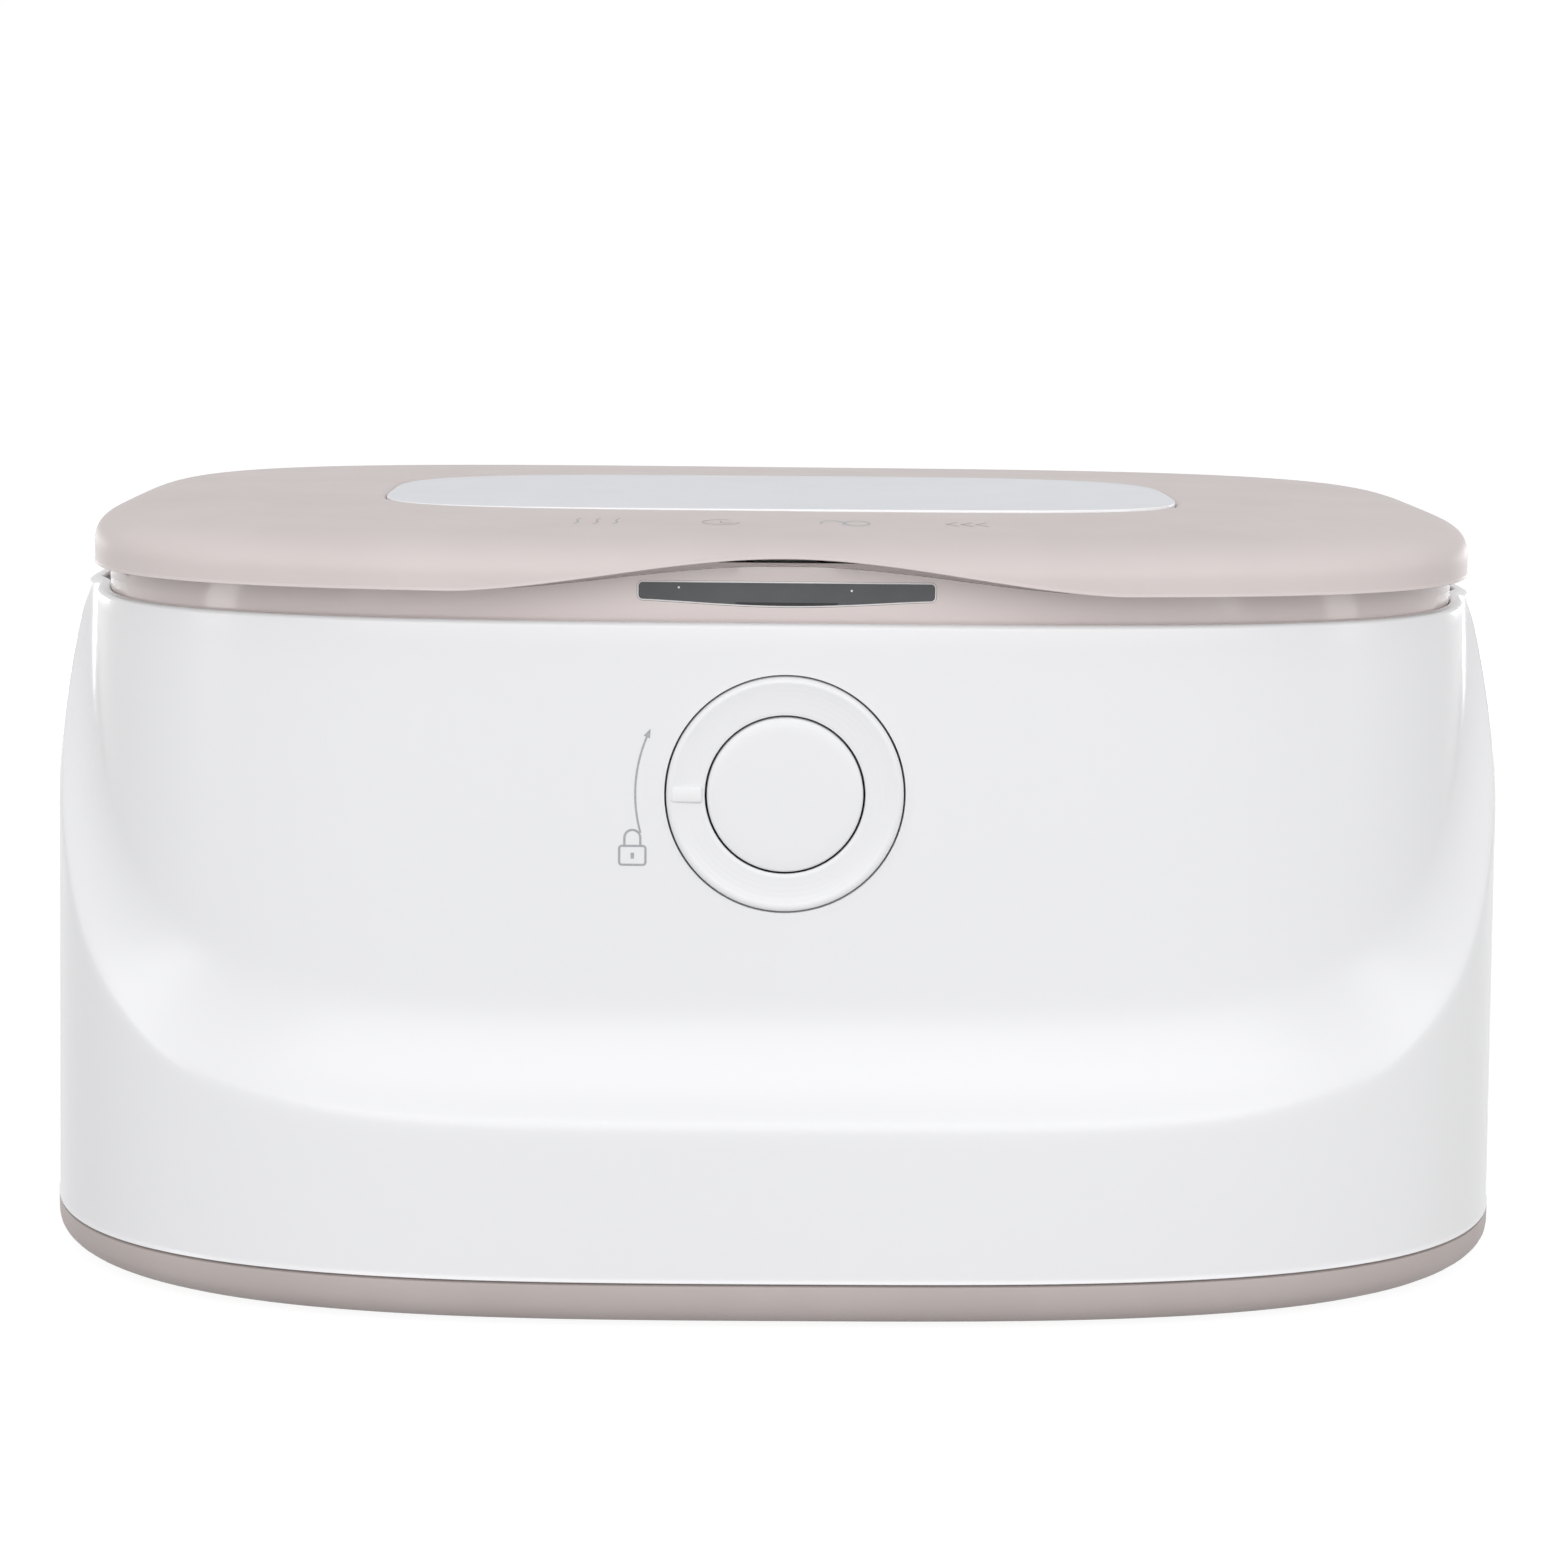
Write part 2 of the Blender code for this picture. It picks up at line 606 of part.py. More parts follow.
def lead_route(start, end, shares):
    """A lead's points, by their shares of the way from one end to the other."""
    start = Vector(start)
    way = Vector(end) - start
    return [(start.x + way.x * across, start.y + way.y * along, start.z + way.z * down)
            for across, along, down in shares]


def tube(name, route, radius, smoothing, material, resolution):
    """A round lead or wire through a route, on a smooth curve read at even steps."""
    points = smooth_route(route, smoothing) if smoothing > 1 else list(route)
    curve = bpy.data.curves.new(name, "CURVE")
    curve.dimensions = "3D"
    curve.bevel_depth = radius
    curve.bevel_resolution = resolution
    curve.use_fill_caps = True
    spline = curve.splines.new("POLY")
    spline.points.add(len(points) - 1)
    for point, place in zip(spline.points, points):
        point.co = (*place, 1.0)
    made = add_object(name, curve, material)
    bpy.context.view_layer.update()
    return as_mesh(made)


def smooth_route(route, smoothing):
    """Catmull-Rom points through a route."""
    places = [Vector(place) for place in route]
    padded = [2 * places[0] - places[1], *places, 2 * places[-1] - places[-2]]
    points = []
    for before, start, end, after in zip(padded, padded[1:], padded[2:], padded[3:]):
        for step in range(smoothing):
            share = step / smoothing
            points.append(0.5 * (
                2 * start + (end - before) * share
                + (2 * before - 5 * start + 4 * end - after) * share ** 2
                + (3 * start - before - 3 * end + after) * share ** 3))
    points.append(places[-1])
    return points


def plan_point(half_width, half_depth, roundness, angle, centre_y=0.0):
    """A point of the rounded plan that all the shells share."""
    power = 2.0 / roundness
    across = math.copysign(abs(math.cos(angle)) ** power, math.cos(angle))
    along = math.copysign(abs(math.sin(angle)) ** power, math.sin(angle))
    return half_width * across, half_depth * along + centre_y


def plan(half_width, half_depth, roundness, centre_y=0.0, count=PLAN_POINTS):
    """The whole rounded plan, counter-clockwise."""
    return [plan_point(half_width, half_depth, roundness, math.tau * index / count, centre_y)
            for index in range(count)]


def tub_plan(grow):
    """The plan of the tub, grown all round."""
    return plan(TUB_HALF_WIDTH + grow, TUB_HALF_DEPTH + grow, FRONT_ROUNDNESS, TUB_CENTRE_Y, TUB_POINTS)


def level(outline, height):
    """An outline lifted to a height."""
    return [(x, y, height) for x, y in outline]


def reach_along(start, direction, half_width, half_depth, roundness):
    """How far a point goes along a direction before it meets a rounded plan."""
    near = 0.0
    far = half_width
    for _ in range(REACH_STEPS):
        middle = (near + far) / 2
        x = abs(start[0] + direction[0] * middle) / half_width
        y = abs(start[1] + direction[1] * middle) / half_depth
        if x ** roundness + y ** roundness < 1.0:
            near = middle
        else:
            far = middle
    return near


def corner_direction():
    """The way outwards from a screw post to the housing's corner."""
    outward = Vector((1.0 / FRAME_HALF_WIDTH, 1.0 / FRAME_HALF_DEPTH))
    return outward.normalized()


CORNERS = [(side, end) for side in (-1, 1) for end in (-1, 1)]
POST_TURN = corner_direction()


def rib(name, corner, low, high, reach):
    """An upright rib from a post out to the wall."""
    side, end = corner
    length = reach + HOUSING_WALL / 2
    made = box(name, (0.0, -POST_RIB_WIDTH / 2, low), (length, POST_RIB_WIDTH / 2, high))
    turn = math.atan2(POST_TURN.y * end, POST_TURN.x * side)
    made.location = (POST_X * side, POST_Y * end, 0.0)
    made.rotation_euler = (0.0, 0.0, turn)
    return made


# Outer housing: the full skirt runs round the sides and back, and the front is set in
# behind a scooped edge that sweeps up each side to the rim.
def skirt_inset(height):
    """How far the skirt stands in from its widest line, at a height."""
    if height < LEAN_START_HEIGHT:
        return SKIRT_DRAFT * (height - HOUSING_LOW) / (LEAN_START_HEIGHT - HOUSING_LOW)
    share = (height - LEAN_START_HEIGHT) / (RIM_HEIGHT - LEAN_START_HEIGHT)
    return SKIRT_DRAFT + RIM_LEAN * share ** 2


def housing_point(angle, height, edge):
    """A point of the outside of the housing."""
    inset = skirt_inset(height)
    skirt = Vector(plan_point(BODY_WIDTH / 2 - inset, BODY_DEPTH / 2 - inset, PLAN_ROUNDNESS, angle))
    half_width = FRONT_HALF_WIDTH + FRONT_DRAFT_SHARE * (RIM_HEIGHT - height)
    front = Vector(plan_point(half_width, FRONT_HALF_DEPTH, FRONT_ROUNDNESS, angle))
    into_band = min(max((height - edge) / SCOOP_BAND, 0.0), 1.0)
    share = 1.0 - (1.0 - into_band) ** 2
    return (*skirt.lerp(front, share), height)


def scoop_edge(y):
    """Height of the crisp edge under the scoop, by its place from front to back."""
    share = (y + BODY_DEPTH / 2) / (BODY_DEPTH / 2)
    return SCOOP_LOW_HEIGHT + SCOOP_RISE * max(share, 0.0) ** SCOOP_CURVE


def housing_column(angle):
    """One column of the housing's outside, from the seam to the rim."""
    edge = scoop_edge(plan_point(BODY_WIDTH / 2, BODY_DEPTH / 2, PLAN_ROUNDNESS, angle)[1])
    line = min(edge, RIM_HEIGHT - SCOOP_BAND - SCOOP_TOP_MARGIN)
    top = line + SCOOP_BAND
    heights = [HOUSING_LOW + share * (line - HOUSING_LOW) for share in SKIRT_ROW_SHARES]
    heights += [line + share * SCOOP_BAND for share in SCOOP_BAND_SHARES]
    heights += [top + share * (RIM_HEIGHT - top) for share in FRONT_ROW_SHARES]
    return [housing_point(angle, height, edge) for height in heights]


def make_outer_housing():
    columns = [housing_column(math.tau * index / PLAN_POINTS) for index in range(PLAN_POINTS)]
    housing = wall(loft("outer_housing", list(zip(*columns)), white_gloss), HOUSING_WALL)
    for number, corner in enumerate(CORNERS):
        side, end = corner
        place = Vector((POST_X * side, POST_Y * end, 0.0))
        start = (POST_X, POST_Y)
        low_wall = (BODY_WIDTH / 2 - HOUSING_WALL, BODY_DEPTH / 2 - HOUSING_WALL, PLAN_ROUNDNESS)
        lean = skirt_inset(BRACKET_TOP - BRACKET_HEIGHT / 2) + HOUSING_WALL
        high_wall = (BODY_WIDTH / 2 - lean, BODY_DEPTH / 2 - lean, PLAN_ROUNDNESS)
        if end < 0:
            high_wall = (FRONT_HALF_WIDTH - HOUSING_WALL, FRONT_INNER_Y * end, FRONT_ROUNDNESS)
        low_reach = reach_along(start, POST_TURN, *low_wall)
        high_reach = reach_along(start, POST_TURN, *high_wall)
        up = Vector((0.0, 0.0, 1.0))
        post = rod(f"post_{number}", place + POST_LOW * up, place + POST_TOP * up, POST_RADIUS)
        bracket_low = BRACKET_TOP - BRACKET_HEIGHT
        bracket = rod(f"bracket_{number}", place + bracket_low * up, place + BRACKET_TOP * up, POST_RADIUS)
        join(housing, post, bracket,
             rib(f"post_rib_{number}", corner, POST_LOW + JOIN_OVERLAP, POST_TOP - JOIN_OVERLAP, low_reach),
             rib(f"bracket_rib_{number}", corner, bracket_low + JOIN_OVERLAP, BRACKET_TOP - JOIN_OVERLAP,
                 high_reach))
        hole = SCREW_RADIUS + FIT_GAP
        cut(housing,
            rod(f"post_hole_{number}", place + (POST_LOW - CUT_OVERRUN) * up,
                place + (POST_LOW + PILOT_DEPTH) * up, hole),
            rod(f"bracket_hole_{number}", place + (BRACKET_TOP - BRACKET_HEIGHT - CUT_OVERRUN) * up,
                place + (BRACKET_TOP + CUT_OVERRUN) * up, hole))
    for side in (-1, 1):
        x = CARRIER_BOSS_X * side
        middle = -FRONT_HALF_DEPTH + HOUSING_WALL / 2
        pilot = CARRIER_SCREW_RADIUS + FIT_GAP
        join(housing, rod(f"dial_boss_{side}", (x, middle, DIAL_HEIGHT),
                          (x, CARRIER_FRONT_Y - FIT_GAP, DIAL_HEIGHT), CARRIER_BOSS_RADIUS))
        cut(housing, rod(f"dial_boss_hole_{side}", (x, middle, DIAL_HEIGHT),
                         (x, CARRIER_FRONT_Y + CUT_OVERRUN, DIAL_HEIGHT), pilot))
    cut(housing,
        rod("dial_hole", (0.0, DIAL_FRONT_Y - CUT_OVERRUN, DIAL_HEIGHT),
            (0.0, FRONT_INNER_Y + CUT_OVERRUN, DIAL_HEIGHT),
            DIAL_RADIUS + DIAL_HOLE_CLEARANCE, DIAL_SEGMENTS),
        rod("jack_hole", (JACK_X, BODY_DEPTH / 2 - HOUSING_WALL - CUT_OVERRUN, JACK_HEIGHT),
            (JACK_X, BODY_DEPTH / 2 + CUT_OVERRUN, JACK_HEIGHT), JACK_BARREL_RADIUS + JACK_BARREL_CLEARANCE))


# Base cover: a shallow tray with a lip inside the housing, screw bosses and foot recesses.
def board_screw_places():
    return [(BOARD_X + BOARD_SCREW_X * side, BOARD_Y + BOARD_SCREW_Y * end)
            for side, end in BOARD_SCREW_CORNERS]


def base_ring(inset, height):
    return level(plan(BODY_WIDTH / 2 - inset, BODY_DEPTH / 2 - inset, PLAN_ROUNDNESS), height)


def make_base_cover():
    rounding = [(BASE_ROUNDING * (1.0 - math.sin(turn)), FOOT_PROUD + BASE_ROUNDING * (1.0 - math.cos(turn)))
                for turn in (math.radians(90.0 * step / BASE_STEPS) for step in range(BASE_STEPS + 1))]
    rings = [base_ring(inset, height) for inset, height in rounding]
    rings.append(base_ring(0.0, BASE_TOP))
    base = wall(loft("base_cover", rings, taupe_satin, capped_low=True), BASE_WALL)
    lip_inset = HOUSING_WALL + SKIRT_DRAFT * BASE_LIP_TOP / LEAN_START_HEIGHT + BASE_LIP_CLEARANCE
    outer = plan(BODY_WIDTH / 2 - lip_inset, BODY_DEPTH / 2 - lip_inset, PLAN_ROUNDNESS)
    inner_inset = lip_inset + BASE_LIP_WALL
    inner = plan(BODY_WIDTH / 2 - inner_inset, BODY_DEPTH / 2 - inner_inset, PLAN_ROUNDNESS)
    join(base, prism("base_lip", [outer, inner], FLOOR_TOP - JOIN_OVERLAP, BASE_LIP_TOP))
    up = Vector((0.0, 0.0, 1.0))
    for number, (side, end) in enumerate(CORNERS):
        place = Vector((POST_X * side, POST_Y * end, 0.0))
        join(base, rod(f"base_boss_{number}", place + (FLOOR_TOP - JOIN_OVERLAP) * up,
                       place + (BASE_LIP_TOP - FIT_GAP) * up, BASE_BOSS_RADIUS))
    for number, (side, end) in enumerate(CORNERS):
        x = BOARD_X + BOARD_SCREW_X * side
        y = BOARD_Y + BOARD_SCREW_Y * end
        join(base, rod(f"board_stud_{number}", (x, y, FLOOR_TOP - JOIN_OVERLAP),
                       (x, y, BOARD_HEIGHT - FIT_GAP), BOARD_STUD_RADIUS))
    jack_low = JACK_HEIGHT - JACK_BODY[2] / 2
    join(base, box("jack_rest", (JACK_X - JACK_REST_HALF_WIDTH, jack_back_y(), FLOOR_TOP - JOIN_OVERLAP),
                   (JACK_X + JACK_REST_HALF_WIDTH, jack_back_y() + JACK_REST_DEPTH, jack_low - FIT_GAP)))
    for number, (side, end) in enumerate(CORNERS):
        place = Vector((POST_X * side, POST_Y * end, 0.0))
        foot = Vector((FOOT_X * side, FOOT_Y * end, 0.0))
        cut(base,
            rod(f"base_screw_recess_{number}", place - CUT_OVERRUN * up,
                place + (FOOT_PROUD + BASE_SCREW_RECESS) * up, SCREW_HEAD_RADIUS + SCREW_HEAD_CLEARANCE),
            rod(f"base_screw_hole_{number}", place, place + (BASE_LIP_TOP + CUT_OVERRUN) * up,
                SCREW_RADIUS + FIT_GAP),
            rod(f"foot_recess_{number}", foot - CUT_OVERRUN * up, foot + (FOOT_HEIGHT + FIT_GAP) * up,
                FOOT_RADIUS + FIT_GAP, ROUND_SEGMENTS))
    for number, (x, y) in enumerate(board_screw_places()):
        cut(base, rod(f"board_stud_hole_{number}", (x, y, FLOOR_TOP + JOIN_OVERLAP),
                      (x, y, BOARD_HEIGHT + CUT_OVERRUN), BOARD_SCREW_RADIUS + FIT_GAP))


def make_feet():
    for number, (side, end) in enumerate(CORNERS, start=1):
        x = FOOT_X * side
        y = FOOT_Y * end
        rod(f"foot_{number}", (x, y, 0.0), (x, y, FOOT_HEIGHT), FOOT_RADIUS, ROUND_SEGMENTS, foot_rubber)


def screw(name, head, tip, radius, head_radius, head_height, material=steel):
    """A pan-head screw from under its head to its tip."""
    head = Vector(head)
    tip = Vector(tip)
    along = (tip - head).normalized()
    made = rod(name, head - along * head_height, head, head_radius, SMALL_SEGMENTS, material)
    join(made, rod(f"{name}_shank", head - along * JOIN_OVERLAP, tip, radius))
    return made


def make_body_screws():
    for number, (side, end) in enumerate(CORNERS, start=1):
        x = POST_X * side
        y = POST_Y * end
        seat = FOOT_PROUD + BASE_SCREW_RECESS - FIT_GAP
        screw(f"base_screw_{number}", (x, y, seat), (x, y, POST_LOW + SCREW_GRIP),
              SCREW_RADIUS, SCREW_HEAD_RADIUS, SCREW_HEAD_HEIGHT)
        seat = FRAME_LOW + LUG_THICKNESS + FIT_GAP
        screw(f"frame_screw_{number}", (x, y, seat), (x, y, BRACKET_TOP - BRACKET_HEIGHT),
              SCREW_RADIUS, SCREW_HEAD_RADIUS, SCREW_HEAD_HEIGHT)


# Inner frame: the glossy collar that shows between rim and lid, with the ledge for the
# tub, the window for the display, screw lugs and the two hinge ears.
def lens_outline(grow=0.0):
    """The display window: level on top, bowed below, round at both ends."""
    radius = LENS_END_HEIGHT / 2
    run = LENS_HALF_WIDTH - radius
    middle = LENS_TOP - radius
    outline = []
    for step in range(LENS_END_STEPS + 1):
        turn = math.pi / 2 + math.pi * step / LENS_END_STEPS
        outline.append((-run + (radius + grow) * math.cos(turn), middle + (radius + grow) * math.sin(turn)))
    for step in range(1, LENS_BOW_STEPS):
        share = step / LENS_BOW_STEPS
        x = run * (2.0 * share - 1.0)
        outline.append((x, middle - radius - grow - LENS_SAG * math.sin(math.pi * share)))
    for step in range(LENS_END_STEPS + 1):
        turn = -math.pi / 2 + math.pi * step / LENS_END_STEPS
        outline.append((run + (radius + grow) * math.cos(turn), middle + (radius + grow) * math.sin(turn)))
    return outline


def make_inner_frame():
    outer = plan(FRAME_HALF_WIDTH, FRAME_HALF_DEPTH, FRONT_ROUNDNESS)
    inner = plan(FRAME_HALF_WIDTH - FRAME_WALL, FRAME_HALF_DEPTH - FRAME_WALL, FRONT_ROUNDNESS)
    buried = plan(FRAME_HALF_WIDTH - FRAME_WALL / 2, FRAME_HALF_DEPTH - FRAME_WALL / 2, FRONT_ROUNDNESS)
    mouth = tub_plan(TUB_MOUTH_CLEARANCE)
    frame = prism("inner_frame", [outer, inner], FRAME_LOW, FRAME_TOP, material=taupe_gloss)
    join(frame, prism("ledge", [buried, mouth], LEDGE_LOW, LEDGE_TOP))
    up = Vector((0.0, 0.0, 1.0))
    for number, (side, end) in enumerate(CORNERS):
        place = Vector((POST_X * side, POST_Y * end, 0.0))
        join(frame, rod(f"lug_{number}", place + FRAME_LOW * up,
                        place + (FRAME_LOW + LUG_THICKNESS) * up, LUG_RADIUS))
    for side in (-1, 1):
        near, far = (value * side for value in HINGE_EAR_X)
        join(frame, rod(f"ear_{side}", (near, HINGE_Y, HINGE_Z), (far, HINGE_Y, HINGE_Z),
                        HINGE_EAR_RADIUS))
        inset = JOIN_OVERLAP * side
        join(frame, box(f"ear_arm_{side}",
                        (min(near + inset, far - inset), FRAME_HALF_DEPTH - FRAME_WALL / 2,
                         HINGE_Z - HINGE_ARM_HALF_HEIGHT),
                        (max(near + inset, far - inset), HINGE_Y, HINGE_Z + HINGE_ARM_HALF_HEIGHT)))
    for number, (side, end) in enumerate(CORNERS):
        place = Vector((POST_X * side, POST_Y * end, 0.0))
        cut(frame, rod(f"lug_hole_{number}", place + (FRAME_LOW - CUT_OVERRUN) * up,
                       place + (FRAME_LOW + LUG_THICKNESS + CUT_OVERRUN) * up, SCREW_RADIUS + FIT_GAP))
    for side in (-1, 1):
        near, far = (value * side for value in HINGE_EAR_X)
        cut(frame, rod(f"ear_hole_{side}", (near - CUT_OVERRUN * side, HINGE_Y, HINGE_Z),
                       (far + CUT_OVERRUN * side, HINGE_Y, HINGE_Z), HINGE_PIN_RADIUS + FIT_GAP))
    wall_inner_y = -FRAME_HALF_DEPTH + FRAME_WALL
    cut(frame,
        prism("window", [lens_outline(LENS_CLEARANCE)], -FRAME_HALF_DEPTH - CUT_OVERRUN,
              wall_inner_y + CUT_OVERRUN, "Y"),
        box("display_notch", (-LEDGE_NOTCH_HALF_WIDTH, wall_inner_y, LEDGE_LOW - CUT_OVERRUN),
            (LEDGE_NOTCH_HALF_WIDTH, wall_inner_y + LEDGE_NOTCH_DEPTH, LEDGE_TOP + CUT_OVERRUN)),
        catch_slot("frame_catch_slot", LEDGE_LOW - CUT_OVERRUN, LEDGE_TOP + CUT_OVERRUN))


def catch_slot(name, low, high):
    """The slot that the lid's catch drops through."""
    return box(name, (-CATCH_HALF_WIDTH - CATCH_SLOT_MARGIN, CATCH_NOSE_Y - CATCH_SLOT_MARGIN, low),
               (CATCH_PIN_REACH + CATCH_SLOT_MARGIN, CATCH_BACK_Y + CATCH_SLOT_MARGIN, high))


def make_display():
    front = -FRAME_HALF_DEPTH + LENS_INSET
    lens = prism("display_lens", [lens_outline()], front, front + LENS_THICKNESS, "Y", grey_lens)
    flange_front = -FRAME_HALF_DEPTH + FRAME_WALL + FIT_GAP
    flange_back = flange_front + LENS_FLANGE_THICKNESS
    flange_reach = LENS_HALF_WIDTH + LENS_FLANGE_REACH
    join(lens, box("lens_flange",
                   (-flange_reach, flange_front,
                    LENS_TOP - LENS_END_HEIGHT - LENS_SAG - LENS_FLANGE_REACH),
                   (flange_reach, flange_back, DECK_LOW - FIT_GAP)),
         prism("lens_core", [lens_outline(-JOIN_OVERLAP)], front + JOIN_OVERLAP,
               flange_back - JOIN_OVERLAP / 2, "Y"))
    width, thickness, height = DISPLAY_BOARD_SIZE
    board_front = flange_back + FIT_GAP
    middle = LENS_TOP - height / 2 - DISPLAY_BOARD_DROP
    box("display_board", (-width / 2, board_front, middle - height / 2),
        (width / 2, board_front + thickness, middle + height / 2), board_green)


# Wipe tub with the deck around its mouth, and what is wrapped around it.
def make_wipe_tub():
    rounding = [(TUB_CORNER * (1.0 - math.sin(turn)), TUB_FLOOR_HEIGHT + TUB_CORNER * (1.0 - math.cos(turn)))
                for turn in (math.radians(90.0 * step / TUB_STEPS) for step in range(TUB_STEPS + 1))]
    rings = [level(tub_plan(-inset), height) for inset, height in rounding]
    rings.append(level(tub_plan(0.0), DECK_LOW))
    inset = FRAME_WALL + TUB_FLANGE_CLEARANCE
    deck = plan(FRAME_HALF_WIDTH - inset, FRAME_HALF_DEPTH - inset, FRONT_ROUNDNESS, count=TUB_POINTS)
    rings.append(level(deck, DECK_LOW))
    tub = wall(loft("wipe_tub", rings, white_satin, capped_low=True), TUB_WALL)
    cut(tub, catch_slot("deck_catch_slot", DECK_LOW - CUT_OVERRUN, DECK_TOP + CUT_OVERRUN))


def band(name, inside, thickness, low, high, material):
    """A ring wrapped round the tub, a distance outside it."""
    prism(name, [tub_plan(inside + thickness), tub_plan(inside)], low, high, material=material)


def make_heating():
    band("heater_band", FIT_GAP, HEATER_THICKNESS, HEATER_LOW, HEATER_HIGH, heater_foil)
    band("insulation_sleeve", FIT_GAP + HEATER_THICKNESS + FIT_GAP, INSULATION_THICKNESS,
         HEATER_LOW - INSULATION_EXTRA, HEATER_HIGH + INSULATION_EXTRA, foam)
    top = TUB_FLOOR_HEIGHT - FIT_GAP
    width, depth, height = CUTOUT_SIZE
    box("thermal_cutout", (CUTOUT_X - width / 2, TUB_CENTRE_Y - depth / 2, top - height),
        (CUTOUT_X + width / 2, TUB_CENTRE_Y + depth / 2, top), black_plastic)
    rod("temperature_sensor", (SENSOR_X, TUB_CENTRE_Y, top - SENSOR_LENGTH), (SENSOR_X, TUB_CENTRE_Y, top),
        SENSOR_RADIUS, SMALL_SEGMENTS, acetal)


# Control board with its parts, the power inlet and the leads
def on_board(name, size, x, y):
    """A block standing on the control board, let into it a little."""
    width, depth, height = size
    return box(name, (x - width / 2, y - depth / 2, BOARD_TOP - JOIN_OVERLAP),
               (x + width / 2, y + depth / 2, BOARD_TOP + height))


def socket_back_y():
    """The face of the board's sockets that the leads go into."""
    return BOARD_Y + BOARD_SIZE[1] / 2 - JOIN_OVERLAP


def make_control_board():
    width, depth, thickness = BOARD_SIZE
    board = box("control_board", (BOARD_X - width / 2, BOARD_Y - depth / 2, BOARD_HEIGHT),
                (BOARD_X + width / 2, BOARD_Y + depth / 2, BOARD_TOP), board_green)
    socket_y = socket_back_y() - SOCKET_SIZE[1] / 2
    join(board,
         on_board("power_socket", SOCKET_SIZE, POWER_SOCKET_X, socket_y),
         on_board("heater_socket", SOCKET_SIZE, HEATER_SOCKET_X, socket_y),
         on_board("relay", RELAY_SIZE, BOARD_X - width / 4, BOARD_Y),
         on_board("chip", CHIP_SIZE, BOARD_X + width / 8, BOARD_Y - depth / 4))
    x = BOARD_X + width / 4
    join(board, rod("capacitor", (x, BOARD_Y, BOARD_TOP - JOIN_OVERLAP),
                    (x, BOARD_Y, BOARD_TOP + CAPACITOR_HEIGHT), CAPACITOR_RADIUS))
    for number, (x, y) in enumerate(board_screw_places(), start=1):
        cut(board, rod(f"board_hole_{number}", (x, y, BOARD_HEIGHT - CUT_OVERRUN),
                       (x, y, BOARD_TOP + CUT_OVERRUN), BOARD_SCREW_RADIUS + FIT_GAP))
        seat = BOARD_TOP + FIT_GAP
        screw(f"board_screw_{number}", (x, y, seat), (x, y, seat - BOARD_SCREW_GRIP),
              BOARD_SCREW_RADIUS, BOARD_SCREW_HEAD_RADIUS, BOARD_SCREW_HEAD_HEIGHT)


def jack_face_y():
    """The housing's outside behind the inlet, taken straight on."""
    share = JACK_X / (BODY_WIDTH / 2)
    return BODY_DEPTH / 2 * (1.0 - share ** PLAN_ROUNDNESS) ** (1.0 / PLAN_ROUNDNESS)


def jack_body_front_y():
    return jack_face_y() - HOUSING_WALL - JACK_WALL_GAP


def jack_back_y():
    return jack_body_front_y() - JACK_BODY[1]


def make_power_jack():
    width, depth, height = JACK_BODY
    front = jack_body_front_y()
    mouth = jack_face_y() - JACK_INSET
    jack = box("power_jack", (JACK_X - width / 2, front - depth, JACK_HEIGHT - height / 2),
               (JACK_X + width / 2, front, JACK_HEIGHT + height / 2), black_plastic)
    join(jack, rod("jack_barrel", (JACK_X, front - JOIN_OVERLAP, JACK_HEIGHT), (JACK_X, mouth, JACK_HEIGHT),
                   JACK_BARREL_RADIUS))
    cut(jack, rod("jack_bore", (JACK_X, mouth - JACK_BORE_DEPTH, JACK_HEIGHT),
                  (JACK_X, mouth + CUT_OVERRUN, JACK_HEIGHT), JACK_BORE_RADIUS))
    join(jack, rod("jack_pin", (JACK_X, mouth - JACK_BORE_DEPTH - JOIN_OVERLAP, JACK_HEIGHT),
                   (JACK_X, mouth - JACK_PIN_SETBACK, JACK_HEIGHT), JACK_PIN_RADIUS))


def make_leads():
    socket_y = socket_back_y() + FIT_GAP
    socket_z = BOARD_TOP + LEAD_SOCKET_HEIGHT
    power = lead_route((JACK_X, jack_back_y() - FIT_GAP, JACK_HEIGHT),
                       (POWER_SOCKET_X, socket_y, socket_z), POWER_LEAD_SHARES)
    band_y = TUB_CENTRE_Y + TUB_HALF_DEPTH + FIT_GAP + HEATER_THICKNESS / 2
    heater = lead_route((0.0, band_y, HEATER_LOW - FIT_GAP),
                        (HEATER_SOCKET_X, socket_y, socket_z), HEATER_LEAD_SHARES)
    tube("power_lead", power, POWER_LEAD_RADIUS, LEAD_SMOOTHING, black_plastic, 2)
    tube("heater_lead", heater, HEATER_LEAD_RADIUS, LEAD_SMOOTHING, black_plastic, 2)


